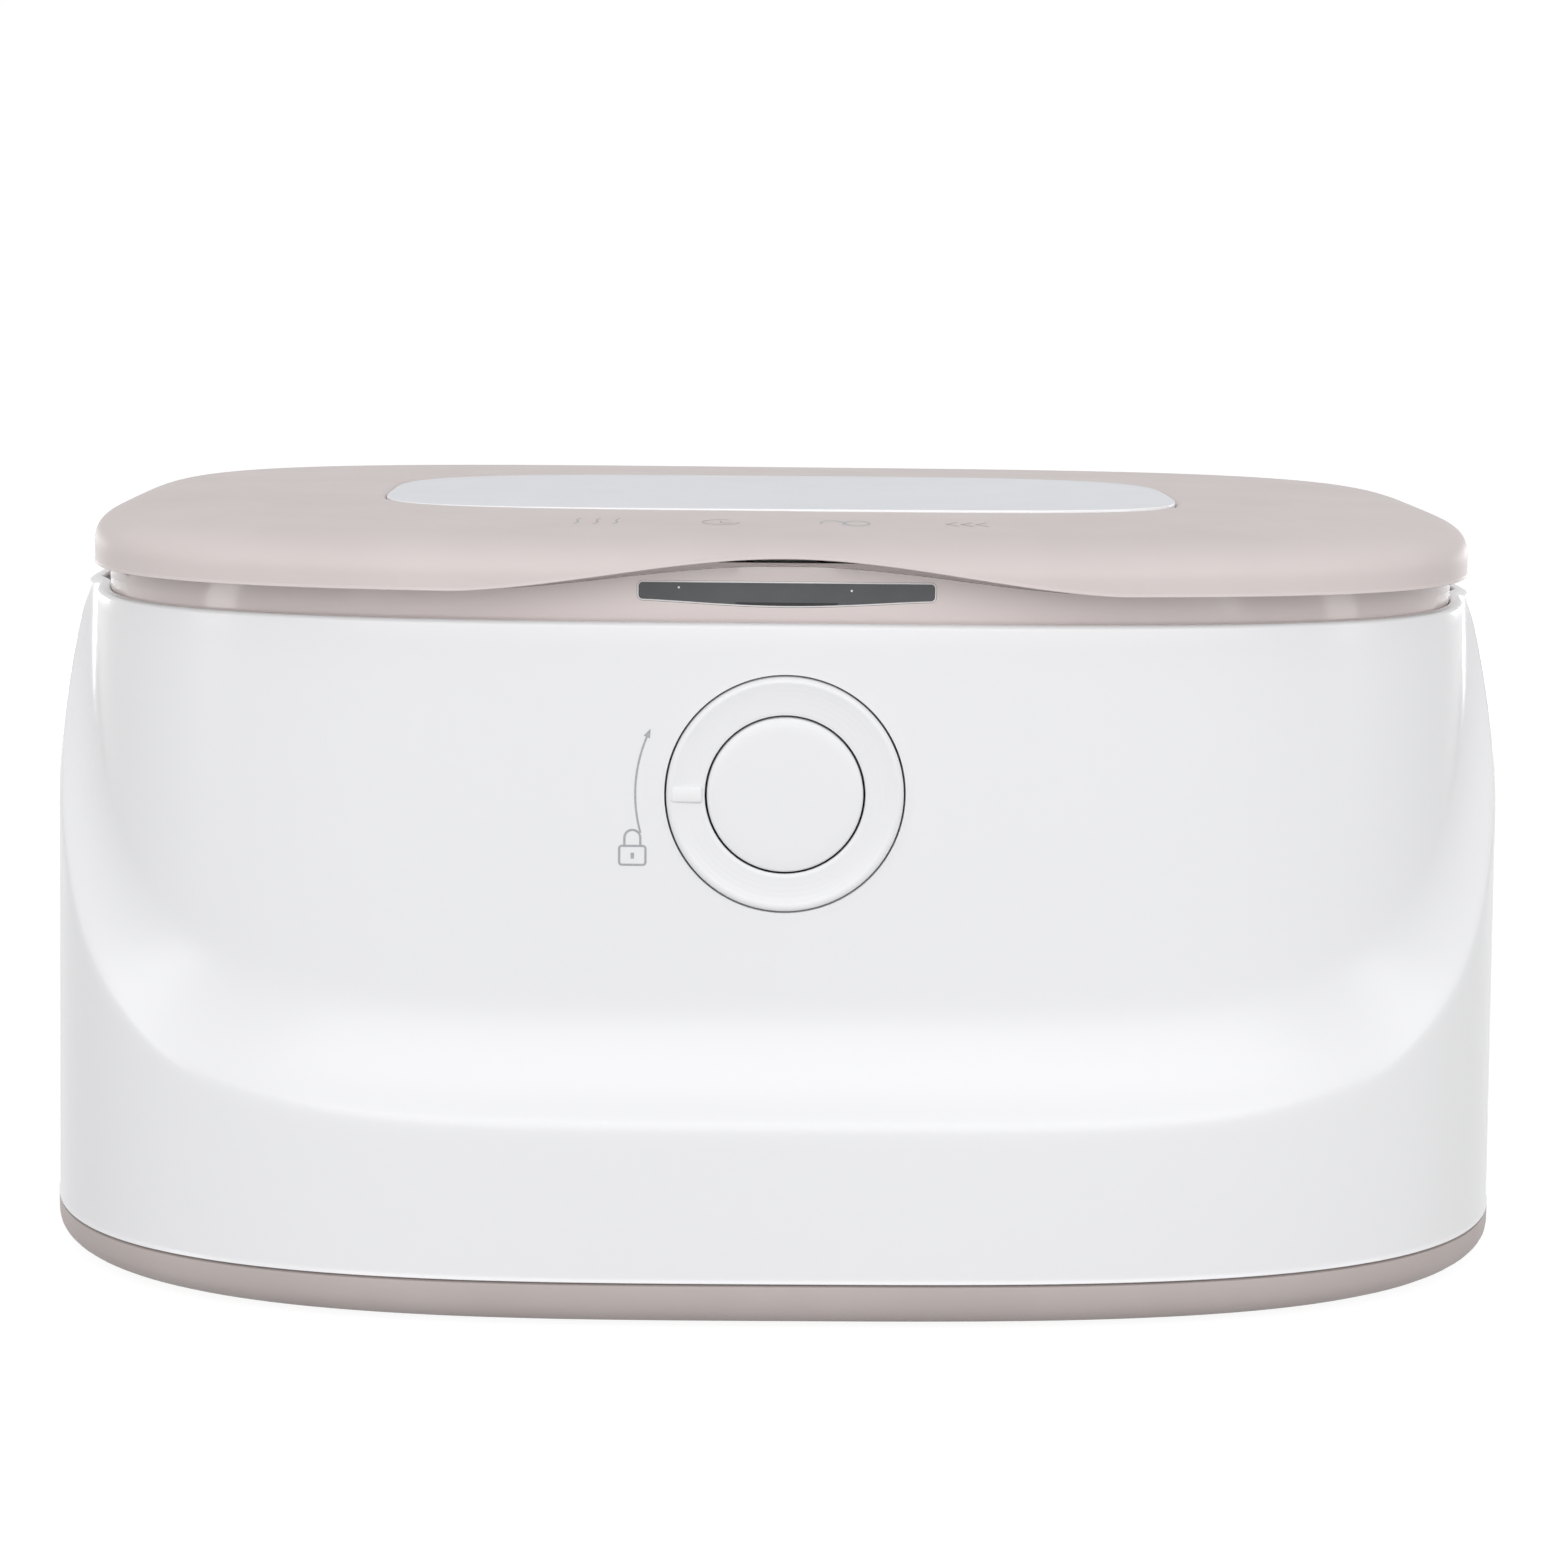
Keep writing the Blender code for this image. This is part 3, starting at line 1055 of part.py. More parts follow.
# Dial ring with its sleeve and marker, and the hook that its sleeve carries: turned to
# lock, the hook's finger stands over the cross pin of the lid's catch and holds it down
def make_dial_ring():
    front = -DIAL_FRONT_Y
    back = -DIAL_BACK_Y
    end = -SLEEVE_END_Y
    profile = [
        (DIAL_RADIUS - DIAL_BEVEL, front), (DIAL_RADIUS, front - DIAL_BEVEL), (DIAL_RADIUS, back),
        (DIAL_SLEEVE_RADIUS, back), (DIAL_SLEEVE_RADIUS, end), (DIAL_BORE, end),
        (DIAL_BORE, front - DIAL_LIP), ((DIAL_RADIUS + DIAL_BORE) / 2, front - DIAL_DISH_DEPTH)]
    ring = turned("dial_ring", profile, (0.0, 0.0, DIAL_HEIGHT), DIAL_SEGMENTS, white_gloss)
    join(ring, box("marker", (-MARKER_END, DIAL_FRONT_Y - MARKER_PROUD, DIAL_HEIGHT - MARKER_WIDTH / 2),
                   (-MARKER_START, DIAL_FRONT_Y + DIAL_THICKNESS / 2, DIAL_HEIGHT + MARKER_WIDTH / 2)))


def circle(radius):
    """Outline of a circle about the dial's axis."""
    turns = [math.tau * step / DIAL_SEGMENTS for step in range(DIAL_SEGMENTS)]
    return [(radius * math.cos(turn), DIAL_HEIGHT + radius * math.sin(turn)) for turn in turns]


def make_lock_hook():
    hook = prism("lock_hook", [circle(HOOK_RING_RADIUS), circle(HOOK_RING_BORE)],
                 HOOK_FRONT_Y, HOOK_BACK_Y, "Y", acetal)
    out = Vector((math.sin(HOOK_REST_ANGLE), math.cos(HOOK_REST_ANGLE)))
    aside = Vector((out.y, -out.x)) * HOOK_ARM_HALF_WIDTH
    centre = Vector((0.0, DIAL_HEIGHT))
    root = centre + out * (HOOK_RING_RADIUS + HOOK_RING_BORE) / 2
    tip = centre + out * HOOK_REACH
    arm = [tuple(corner) for corner in (root + aside, tip + aside, tip - aside, root - aside)]
    finger_back = CATCH_BACK_Y - HOOK_FINGER_SETBACK
    join(hook,
         prism("hook_arm", [arm], HOOK_FRONT_Y + HOOK_ARM_INSET, HOOK_BACK_Y - HOOK_ARM_INSET, "Y"),
         rod("hook_finger", (tip.x, HOOK_FRONT_Y + 2 * HOOK_ARM_INSET, tip.y), (tip.x, finger_back, tip.y),
             HOOK_FINGER_RADIUS))


# Push button: a domed cap with a skirt, and a stem that swings the latch lever
def make_push_button():
    front = -BUTTON_FRONT_Y
    inner = -BUTTON_INNER_Y
    skirt_end = front - BUTTON_SKIRT
    profile = [(0.0, front + BUTTON_DOME), (BUTTON_RADIUS / 2, front + BUTTON_DOME * BUTTON_DOME_SHARE),
               (BUTTON_RADIUS - BUTTON_EDGE, front), (BUTTON_RADIUS, front - BUTTON_EDGE),
               (BUTTON_RADIUS, skirt_end), (BUTTON_RADIUS - BUTTON_WALL, skirt_end),
               (BUTTON_RADIUS - BUTTON_WALL, inner), (0.0, inner)]
    button = turned("push_button", profile, (0.0, 0.0, DIAL_HEIGHT), DIAL_SEGMENTS, white_gloss)
    neck_y = WEB_FRONT_Y - FIT_GAP
    join(button,
         rod("stem", (0.0, BUTTON_INNER_Y - JOIN_OVERLAP, DIAL_HEIGHT), (0.0, neck_y, DIAL_HEIGHT),
             BUTTON_STEM_RADIUS),
         rod("stem_tip", (0.0, neck_y - JOIN_OVERLAP, DIAL_HEIGHT), (0.0, BUTTON_TIP_Y, DIAL_HEIGHT),
             BUTTON_TIP_RADIUS))


def coil(name, start, along, side, radius, wire, turns, length, material):
    """An open wire coil about an axis, between two faces that stand a length apart."""
    start = Vector(start)
    along = Vector(along)
    side = Vector(side)
    other = along.cross(side)
    count = turns * SPRING_POINTS_PER_TURN
    points = []
    for step in range(count + 1):
        turn = math.tau * step / SPRING_POINTS_PER_TURN
        rise = wire + (length - 2 * wire) * step / count
        points.append(start + along * rise + (side * math.cos(turn) + other * math.sin(turn)) * radius)
    return tube(name, points, wire / 2, 1, material, 1)


def make_button_spring():
    start_y = BUTTON_INNER_Y + FIT_GAP - SPRING_WIRE / 2
    length = WEB_FRONT_Y - FIT_GAP - BUTTON_INNER_Y - FIT_GAP + SPRING_WIRE
    coil("button_spring", (0.0, start_y, DIAL_HEIGHT), (0.0, 1.0, 0.0), (1.0, 0.0, 0.0),
         SPRING_COIL_RADIUS, SPRING_WIRE, SPRING_TURNS, length, spring_steel)


# Carrier that the dial turns in, screwed to the housing's front together with the bracket
def make_dial_carrier():
    outline = [(-CARRIER_HALF_WIDTH, DIAL_HEIGHT - CARRIER_HALF_HEIGHT),
               (CARRIER_HALF_WIDTH, DIAL_HEIGHT - CARRIER_HALF_HEIGHT),
               (CARRIER_HALF_WIDTH, DIAL_HEIGHT + CARRIER_HALF_HEIGHT),
               (-CARRIER_HALF_WIDTH, DIAL_HEIGHT + CARRIER_HALF_HEIGHT)]
    carrier = prism("dial_carrier", [outline], CARRIER_FRONT_Y, CARRIER_BACK_Y, "Y", white_satin)
    join(carrier, rod("dial_seat", (0.0, DIAL_BACK_Y + FIT_GAP, DIAL_HEIGHT),
                      (0.0, CARRIER_FRONT_Y + JOIN_OVERLAP, DIAL_HEIGHT), SEAT_RADIUS, DIAL_SEGMENTS))
    cut(carrier, rod("seat_bore", (0.0, DIAL_BACK_Y - CUT_OVERRUN, DIAL_HEIGHT),
                     (0.0, CARRIER_BACK_Y + CUT_OVERRUN, DIAL_HEIGHT),
                     DIAL_SLEEVE_RADIUS + SEAT_BORE_CLEARANCE, DIAL_SEGMENTS))
    for side in (-1, 1):
        x = CARRIER_BOSS_X * side
        cut(carrier, rod(f"carrier_hole_{side}", (x, CARRIER_FRONT_Y - CUT_OVERRUN, DIAL_HEIGHT),
                         (x, CARRIER_BACK_Y + CUT_OVERRUN, DIAL_HEIGHT), CARRIER_SCREW_RADIUS + FIT_GAP))


def make_latch_bracket():
    low = DIAL_HEIGHT - BRACKET_HALF_HEIGHT
    high = DIAL_HEIGHT + BRACKET_HALF_HEIGHT
    leg_outer = BRACKET_LEG_X + BRACKET_LEG_WIDTH
    bracket = box("latch_bracket", (-leg_outer, WEB_FRONT_Y, low), (leg_outer, WEB_BACK_Y, high),
                  white_satin)
    foot_back = FOOT_FRONT_Y + BRACKET_FOOT_THICKNESS
    for side in (-1, 1):
        inner, outer = sorted((BRACKET_LEG_X * side, leg_outer * side))
        join(bracket, box(f"bracket_leg_{side}", (inner, FOOT_FRONT_Y, low + JOIN_OVERLAP),
                          (outer, WEB_BACK_Y - JOIN_OVERLAP, high - JOIN_OVERLAP)))
        inner, outer = sorted(((leg_outer - JOIN_OVERLAP) * side, BRACKET_FOOT_REACH * side))
        join(bracket, box(f"bracket_foot_{side}", (inner, FOOT_FRONT_Y, low + 2 * JOIN_OVERLAP),
                          (outer, foot_back, high - 2 * JOIN_OVERLAP)))
        inner, outer = sorted((CHEEK_X * side, (CHEEK_X + CHEEK_WIDTH) * side))
        join(bracket,
             box(f"cheek_{side}", (inner, PIVOT_Y - CHEEK_RADIUS, high - CHEEK_ROOT),
                 (outer, PIVOT_Y + CHEEK_RADIUS, LEVER_PIVOT_HEIGHT)),
             rod(f"cheek_eye_{side}", (inner + JOIN_OVERLAP / 2, PIVOT_Y, LEVER_PIVOT_HEIGHT),
                 (outer - JOIN_OVERLAP / 2, PIVOT_Y, LEVER_PIVOT_HEIGHT), CHEEK_RADIUS - JOIN_OVERLAP / 4))
    reach = CHEEK_X + CHEEK_WIDTH + CUT_OVERRUN
    cut(bracket,
        rod("pin_hole", (-reach, PIVOT_Y, LEVER_PIVOT_HEIGHT), (reach, PIVOT_Y, LEVER_PIVOT_HEIGHT),
            LEVER_PIN_RADIUS + FIT_GAP),
        rod("stem_hole", (0.0, WEB_FRONT_Y - CUT_OVERRUN, DIAL_HEIGHT),
            (0.0, WEB_BACK_Y + CUT_OVERRUN, DIAL_HEIGHT), BUTTON_STEM_RADIUS + STEM_CLEARANCE))
    for number, side in enumerate((-1, 1), start=1):
        x = CARRIER_BOSS_X * side
        cut(bracket, rod(f"foot_hole_{side}", (x, FOOT_FRONT_Y - CUT_OVERRUN, DIAL_HEIGHT),
                         (x, foot_back + CUT_OVERRUN, DIAL_HEIGHT), CARRIER_SCREW_RADIUS + FIT_GAP))
        seat = foot_back + FIT_GAP
        screw(f"bracket_screw_{number}", (x, seat, DIAL_HEIGHT),
              (x, seat - CARRIER_SCREW_LENGTH, DIAL_HEIGHT),
              CARRIER_SCREW_RADIUS, CARRIER_SCREW_HEAD_RADIUS, CARRIER_SCREW_HEAD_HEIGHT)


# Latch lever: the stem swings its lower arm back, and its nose draws forward off the catch
def make_latch_lever():
    lever = rod("latch_lever", (-LEVER_HUB_HALF_WIDTH, PIVOT_Y, LEVER_PIVOT_HEIGHT),
                (LEVER_HUB_HALF_WIDTH, PIVOT_Y, LEVER_PIVOT_HEIGHT), LEVER_HUB_RADIUS, material=acetal)
    half = LEVER_HALF_WIDTH
    upper_front = LEVER_UPPER_BACK_Y - LEVER_THICKNESS
    join(lever,
         box("lower_arm", (-half, LEVER_FRONT_Y, LEVER_LOW_END),
             (half, LEVER_FRONT_Y + LEVER_THICKNESS, LEVER_PIVOT_HEIGHT)),
         box("upper_arm", (-half, upper_front, LEVER_PIVOT_HEIGHT), (half, LEVER_UPPER_BACK_Y, LEVER_TOP)),
         box("nose", (-half + JOIN_OVERLAP, upper_front + JOIN_OVERLAP, LEVER_TOP - LEVER_NOSE_HEIGHT),
             (half - JOIN_OVERLAP, NOSE_TIP_Y, LEVER_TOP - JOIN_OVERLAP / 2)))
    reach = LEVER_HUB_HALF_WIDTH + CUT_OVERRUN
    cut(lever, rod("lever_bore", (-reach, PIVOT_Y, LEVER_PIVOT_HEIGHT), (reach, PIVOT_Y, LEVER_PIVOT_HEIGHT),
                   LEVER_PIN_RADIUS + FIT_GAP))
    pin_end = CHEEK_X + CHEEK_WIDTH
    rod("latch_pin", (-pin_end, PIVOT_Y, LEVER_PIVOT_HEIGHT), (pin_end, PIVOT_Y, LEVER_PIVOT_HEIGHT),
        LEVER_PIN_RADIUS, SMALL_SEGMENTS, steel)


# Lid shell: a rounded edge all round, a slight crown, an arch to lift it by and the
# opening for the light panel
def crown(x, y):
    """Height of the lid's top at a place in plan."""
    out = (abs(x) / LID_HALF_WIDTH) ** LID_ROUNDNESS + (abs(y) / LID_HALF_DEPTH) ** LID_ROUNDNESS
    return LID_SHOULDER + LID_CROWN * (1.0 - out ** (2.0 / LID_ROUNDNESS))


def panel_outline(grow, count=PANEL_POINTS):
    return plan(PANEL_HALF_WIDTH + grow, PANEL_HALF_DEPTH + grow, PANEL_ROUNDNESS, PANEL_CENTRE_Y, count)


def lid_rings():
    rings = []
    for inset_share, rise_share in LID_EDGE_SHARES:
        inset = LID_EDGE_REACH * inset_share
        outline = plan(LID_HALF_WIDTH - inset, LID_HALF_DEPTH - inset, LID_ROUNDNESS)
        top = [crown(x, y) for x, y in outline]
        rings.append([(x, y, LID_LOW_EDGE + (height - LID_LOW_EDGE) * rise_share)
                      for (x, y), height in zip(outline, top)])
    shoulder = [(x, y) for x, y, _ in rings[-1]]
    opening = panel_outline(PANEL_CLEARANCE, PLAN_POINTS)
    for share in LID_TOP_SHARES:
        outline = [(x + (u - x) * share, y + (v - y) * share) for (x, y), (u, v) in zip(shoulder, opening)]
        rings.append([(x, y, crown(x, y)) for x, y in outline])
    return rings


def arch_outline():
    """The finger relief under the lid's front edge."""
    outline = [(ARCH_HALF_WIDTH, LID_LOW_EDGE - CUT_OVERRUN)]
    for step in range(ARCH_POINTS + 1):
        x = ARCH_HALF_WIDTH * (1.0 - 2.0 * step / ARCH_POINTS)
        rise = ARCH_RISE * (0.5 + 0.5 * math.cos(math.pi * x / ARCH_HALF_WIDTH))
        outline.append((x, LID_LOW_EDGE - ARCH_START_DROP + rise))
    outline.append((-ARCH_HALF_WIDTH, LID_LOW_EDGE - CUT_OVERRUN))
    return outline


def make_lid_shell():
    lid = wall(loft("lid_shell", lid_rings(), taupe_satin), LID_WALL)
    cut(lid, prism("arch", [arch_outline()], -LID_HALF_DEPTH - CUT_OVERRUN,
                   -LID_HALF_DEPTH + ARCH_CUT_DEPTH, "Y"))


# Lid liner: closes the lid from below and carries the hinge knuckles and the catch, whose
# cross pin the lock's hook holds down
def make_lid_liner():
    inset = LID_WALL + LINER_CLEARANCE
    high = LINER_LOW + LINER_THICKNESS
    outline = plan(LID_HALF_WIDTH - inset, LID_HALF_DEPTH - inset, LID_ROUNDNESS)
    liner = prism("lid_liner", [outline], LINER_LOW, high, material=white_satin)
    for side in (-1, 1):
        for label, ends in (("inner", HINGE_INNER_KNUCKLE_X), ("outer", HINGE_OUTER_KNUCKLE_X)):
            near, far = (value * side for value in ends)
            inset = JOIN_OVERLAP * side
            low_x, high_x = sorted((near + inset, far - inset))
            join(liner,
                 rod(f"knuckle_{label}_{side}", (near, HINGE_Y, HINGE_Z), (far, HINGE_Y, HINGE_Z),
                     HINGE_EAR_RADIUS),
                 box(f"knuckle_web_{label}_{side}", (low_x, HINGE_Y - HINGE_WEB_WIDTH / 2, HINGE_Z),
                     (high_x, HINGE_Y + HINGE_WEB_WIDTH / 2, high - JOIN_OVERLAP)))
    half = CATCH_HALF_WIDTH
    join(liner,
         box("catch_leg", (-half, CATCH_FRONT_Y, CATCH_NOSE_LOW), (half, CATCH_BACK_Y, high - JOIN_OVERLAP)),
         box("catch_nose", (-half + JOIN_OVERLAP, CATCH_NOSE_Y, CATCH_NOSE_LOW + JOIN_OVERLAP / 2),
             (half - JOIN_OVERLAP, CATCH_BACK_Y - JOIN_OVERLAP, CATCH_NOSE_TOP)))
    cut(liner, rod("catch_bore", (-half - CUT_OVERRUN, CATCH_PIN_Y, CATCH_PIN_HEIGHT),
                   (half + CUT_OVERRUN, CATCH_PIN_Y, CATCH_PIN_HEIGHT),
                   CATCH_PIN_RADIUS + CATCH_PIN_CLEARANCE))
    rod("catch_pin", (-half, CATCH_PIN_Y, CATCH_PIN_HEIGHT),
        (CATCH_PIN_REACH, CATCH_PIN_Y, CATCH_PIN_HEIGHT), CATCH_PIN_RADIUS, material=steel)
    for side in (-1, 1):
        for label, ends in (("inner", HINGE_INNER_KNUCKLE_X), ("outer", HINGE_OUTER_KNUCKLE_X)):
            near, far = (value * side for value in ends)
            cut(liner, rod(f"knuckle_bore_{label}_{side}", (near - CUT_OVERRUN * side, HINGE_Y, HINGE_Z),
                           (far + CUT_OVERRUN * side, HINGE_Y, HINGE_Z), HINGE_PIN_RADIUS + FIT_GAP))


def make_lid_seal():
    prism("lid_seal", [tub_plan(SEAL_OUTSET + SEAL_WIDTH), tub_plan(SEAL_OUTSET)],
          DECK_TOP + FIT_GAP, LINER_LOW - FIT_GAP, material=silicone)


def make_hinge_pins_and_springs():
    for label, side in (("left", -1), ("right", 1)):
        ends = (HINGE_INNER_KNUCKLE_X[0] * side, HINGE_OUTER_KNUCKLE_X[1] * side)
        rod(f"hinge_pin_{label}", (ends[0], HINGE_Y, HINGE_Z), (ends[1], HINGE_Y, HINGE_Z),
            HINGE_PIN_RADIUS, SMALL_SEGMENTS, steel)
        start = (HINGE_INNER_KNUCKLE_X[1] + FIT_GAP - HINGE_SPRING_WIRE / 2) * side
        length = HINGE_EAR_X[0] - HINGE_INNER_KNUCKLE_X[1] - 2 * FIT_GAP + HINGE_SPRING_WIRE
        coil(f"hinge_spring_{label}", (start, HINGE_Y, HINGE_Z), (side, 0.0, 0.0), (0.0, 1.0, 0.0),
             HINGE_SPRING_RADIUS, HINGE_SPRING_WIRE, HINGE_SPRING_TURNS, length, spring_steel)


# Light panel in the lid's opening, its lamps, and the touch film under the front strip
def make_light_panel():
    lower = PANEL_TOP - PANEL_THICKNESS
    rings = [level(panel_outline(0.0), lower), level(panel_outline(0.0), PANEL_TOP - PANEL_EDGE),
             level(panel_outline(-PANEL_EDGE * PANEL_EDGE_SHARE), PANEL_TOP - PANEL_EDGE * PANEL_EDGE_SHARE),
             level(panel_outline(-PANEL_EDGE), PANEL_TOP)]
    panel = loft("light_panel", rings, diffuser, capped_low=True, capped_high=True)
    flange_high = crown(PANEL_HALF_WIDTH, PANEL_CENTRE_Y) - LID_WALL - FIT_GAP - FLANGE_DROP
    flange_low = LINER_LOW + LINER_THICKNESS + FIT_GAP
    hollow = panel_outline(-PANEL_RIM_WALL)
    join(panel, prism("panel_flange", [panel_outline(PANEL_RIM_REACH), hollow], flange_low, flange_high),
         prism("panel_wall", [panel_outline(-JOIN_OVERLAP), panel_outline(JOIN_OVERLAP - PANEL_RIM_WALL)],
               flange_low + JOIN_OVERLAP / 2, lower + JOIN_OVERLAP))


def make_lamp_board():
    low = LINER_LOW + LINER_THICKNESS + FIT_GAP
    high = low + LAMP_BOARD_THICKNESS
    half_width = PANEL_HALF_WIDTH - LAMP_BOARD_MARGIN
    half_depth = PANEL_HALF_DEPTH - LAMP_BOARD_MARGIN
    outline = plan(half_width, half_depth, PANEL_ROUNDNESS, PANEL_CENTRE_Y)
    board = prism("lamp_board", [outline], low, high, material=board_green)
    width, depth, height = LAMP_SIZE
    for column in range(LAMP_COLUMNS):
        for row in range(LAMP_ROWS):
            x = (half_width - LAMP_INSET_X) * (2 * column / (LAMP_COLUMNS - 1) - 1)
            y = PANEL_CENTRE_Y + (half_depth - LAMP_INSET_Y) * (2 * row / (LAMP_ROWS - 1) - 1)
            join(board, box(f"lamp_{column}_{row}", (x - width / 2, y - depth / 2, high - JOIN_OVERLAP / 2),
                            (x + width / 2, y + depth / 2, high + height)))


def make_touch_film():
    corner_x = TOUCH_FILM_HALF_WIDTH
    corner_y = TOUCH_FILM_Y - TOUCH_FILM_HALF_DEPTH
    top = crown(corner_x, corner_y) - LID_WALL - FIT_GAP - TOUCH_FILM_DROP
    box("touch_film", (-corner_x, corner_y, top - TOUCH_FILM_THICKNESS),
        (corner_x, TOUCH_FILM_Y + TOUCH_FILM_HALF_DEPTH, top), board_green)


make_outer_housing()
make_base_cover()
make_feet()
make_body_screws()
make_inner_frame()
make_display()
make_wipe_tub()
make_heating()
make_control_board()
make_power_jack()
make_leads()
make_dial_ring()
make_lock_hook()
make_push_button()
make_button_spring()
make_dial_carrier()
make_latch_bracket()
make_latch_lever()
make_lid_shell()
make_lid_liner()
make_lid_seal()
make_hinge_pins_and_springs()
make_light_panel()
make_lamp_board()
make_touch_film()


# Moving pieces hang on an empty that sits on their joint's axis
def carry(name, place, members):
    pivot = bpy.data.objects.new(name, None)
    parts.objects.link(pivot)
    pivot.location = place
    bpy.context.view_layer.update()
    for member in members:
        piece = bpy.data.objects[member]
        piece.parent = pivot
        piece.matrix_parent_inverse = pivot.matrix_world.inverted()


carry("lid_hinge_axis", (0.0, HINGE_Y, HINGE_Z),
      ("lid_shell", "light_panel", "lamp_board", "touch_film", "lid_liner", "lid_seal",
       "catch_pin", "hinge_pin_left", "hinge_pin_right"))
carry("dial_axis", (0.0, DIAL_FRONT_Y, DIAL_HEIGHT), ("dial_ring", "lock_hook"))
carry("button_axis", (0.0, BUTTON_FRONT_Y, DIAL_HEIGHT), ("push_button", "button_spring"))
carry("latch_axis", (0.0, PIVOT_Y, LEVER_PIVOT_HEIGHT), ("latch_lever",))
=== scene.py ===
import math

import bmesh
import bpy
from mathutils import Matrix, Vector


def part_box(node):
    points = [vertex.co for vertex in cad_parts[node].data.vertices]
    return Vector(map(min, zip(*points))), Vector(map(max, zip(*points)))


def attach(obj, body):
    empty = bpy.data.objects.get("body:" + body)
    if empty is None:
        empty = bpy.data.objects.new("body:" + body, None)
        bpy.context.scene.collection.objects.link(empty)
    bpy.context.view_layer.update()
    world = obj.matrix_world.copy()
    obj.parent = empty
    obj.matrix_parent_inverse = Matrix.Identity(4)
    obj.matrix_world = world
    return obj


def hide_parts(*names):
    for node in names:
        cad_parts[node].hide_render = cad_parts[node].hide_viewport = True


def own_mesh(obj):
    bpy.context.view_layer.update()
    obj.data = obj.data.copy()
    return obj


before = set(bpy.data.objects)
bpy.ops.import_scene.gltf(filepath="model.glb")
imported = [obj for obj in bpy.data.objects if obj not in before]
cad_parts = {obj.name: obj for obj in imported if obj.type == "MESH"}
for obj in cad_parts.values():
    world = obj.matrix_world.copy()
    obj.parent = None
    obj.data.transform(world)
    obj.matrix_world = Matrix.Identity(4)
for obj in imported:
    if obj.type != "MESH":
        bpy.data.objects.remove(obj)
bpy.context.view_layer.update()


# Camera: stands a little over half a metre in front of the warmer and looks slightly down
# on it, a touch from the left, as the photograph was taken. Its numbers come from fitting the
# housing's rim, the dial's circle and the base line to the picture.
CAMERA_PLACE = Vector((-0.0091, -0.55992, 0.16702))
CAMERA_YAW = math.radians(1.02)
CAMERA_PITCH = math.radians(9.67)
CAMERA_ROLL = math.radians(0.66)
FOCAL_PIXELS = 3301.2
PHOTO_PIXELS = 1565

bpy.ops.object.select_all(action="DESELECT")
bpy.ops.object.camera_add()
camera = bpy.context.active_object
camera.data.sensor_width = 36.0
camera.data.lens = FOCAL_PIXELS / PHOTO_PIXELS * 36.0
ahead = Vector((math.sin(CAMERA_YAW) * math.cos(CAMERA_PITCH),
                math.cos(CAMERA_YAW) * math.cos(CAMERA_PITCH), -math.sin(CAMERA_PITCH)))
level_right = Vector((math.cos(CAMERA_YAW), -math.sin(CAMERA_YAW), 0.0))
level_down = ahead.cross(level_right)
rolled_right = level_right * math.cos(CAMERA_ROLL) - level_down * math.sin(CAMERA_ROLL)
rolled_down = level_right * math.sin(CAMERA_ROLL) + level_down * math.cos(CAMERA_ROLL)
turn = Matrix((rolled_right, -rolled_down, -ahead)).transposed()
camera.matrix_world = Matrix.Translation(CAMERA_PLACE) @ turn.to_4x4()
bpy.context.scene.camera = camera


# Studio: a white table under a white surround, lit by one large soft box overhead, one in
# front, a tall strip at either side, whose upright reflections show in the glossy collar, and
# two low ones behind, below the lid's height, that only reach the back.
# To the camera the surround is plain white; the table keeps a faint shadow of the warmer.
def colour_of(code):
    """Linear colour of a six-figure sRGB code."""
    parts = [int(code[start:start + 2], 16) / 255 for start in (1, 3, 5)]
    parts = [part / 12.92 if part <= 0.04045 else ((part + 0.055) / 1.055) ** 2.4 for part in parts]
    return (*parts, 1.0)


def add_node(tree, kind, values, **settings):
    """One node, with its settings, and its sockets given a value or joined to an output."""
    node = tree.nodes.new(kind)
    for setting, value in settings.items():
        setattr(node, setting, value)
    for socket, value in values.items():
        if isinstance(value, bpy.types.NodeSocket):
            tree.links.new(value, node.inputs[socket])
        else:
            node.inputs[socket].default_value = value
    return node


def seen_straight(tree):
    """1 for rays that come from the camera, a mirror or a window, and 0 for light."""
    path = add_node(tree, "ShaderNodeLightPath", {})
    direct = add_node(tree, "ShaderNodeMath", {
        0: path.outputs["Is Camera Ray"], 1: path.outputs["Is Glossy Ray"]}, operation="MAXIMUM")
    either = add_node(tree, "ShaderNodeMath", {
        0: direct.outputs[0], 1: path.outputs["Is Transmission Ray"]}, operation="MAXIMUM")
    return either.outputs[0]


bpy.context.scene.view_settings.view_transform = "Standard"
surround = bpy.data.worlds.new("white_surround")
bpy.context.scene.world = surround
surround.use_nodes = True
surround.node_tree.nodes.clear()
lit_by = add_node(surround.node_tree, "ShaderNodeBackground", {
    "Color": colour_of("#FFFFFF"), "Strength": 0.56})
seen_as = add_node(surround.node_tree, "ShaderNodeBackground", {
    "Color": colour_of("#FFFFFF"), "Strength": 1.0})
both = add_node(surround.node_tree, "ShaderNodeMixShader", {
    0: seen_straight(surround.node_tree), 1: lit_by.outputs[0], 2: seen_as.outputs[0]})
add_node(surround.node_tree, "ShaderNodeOutputWorld", {"Surface": both.outputs[0]})

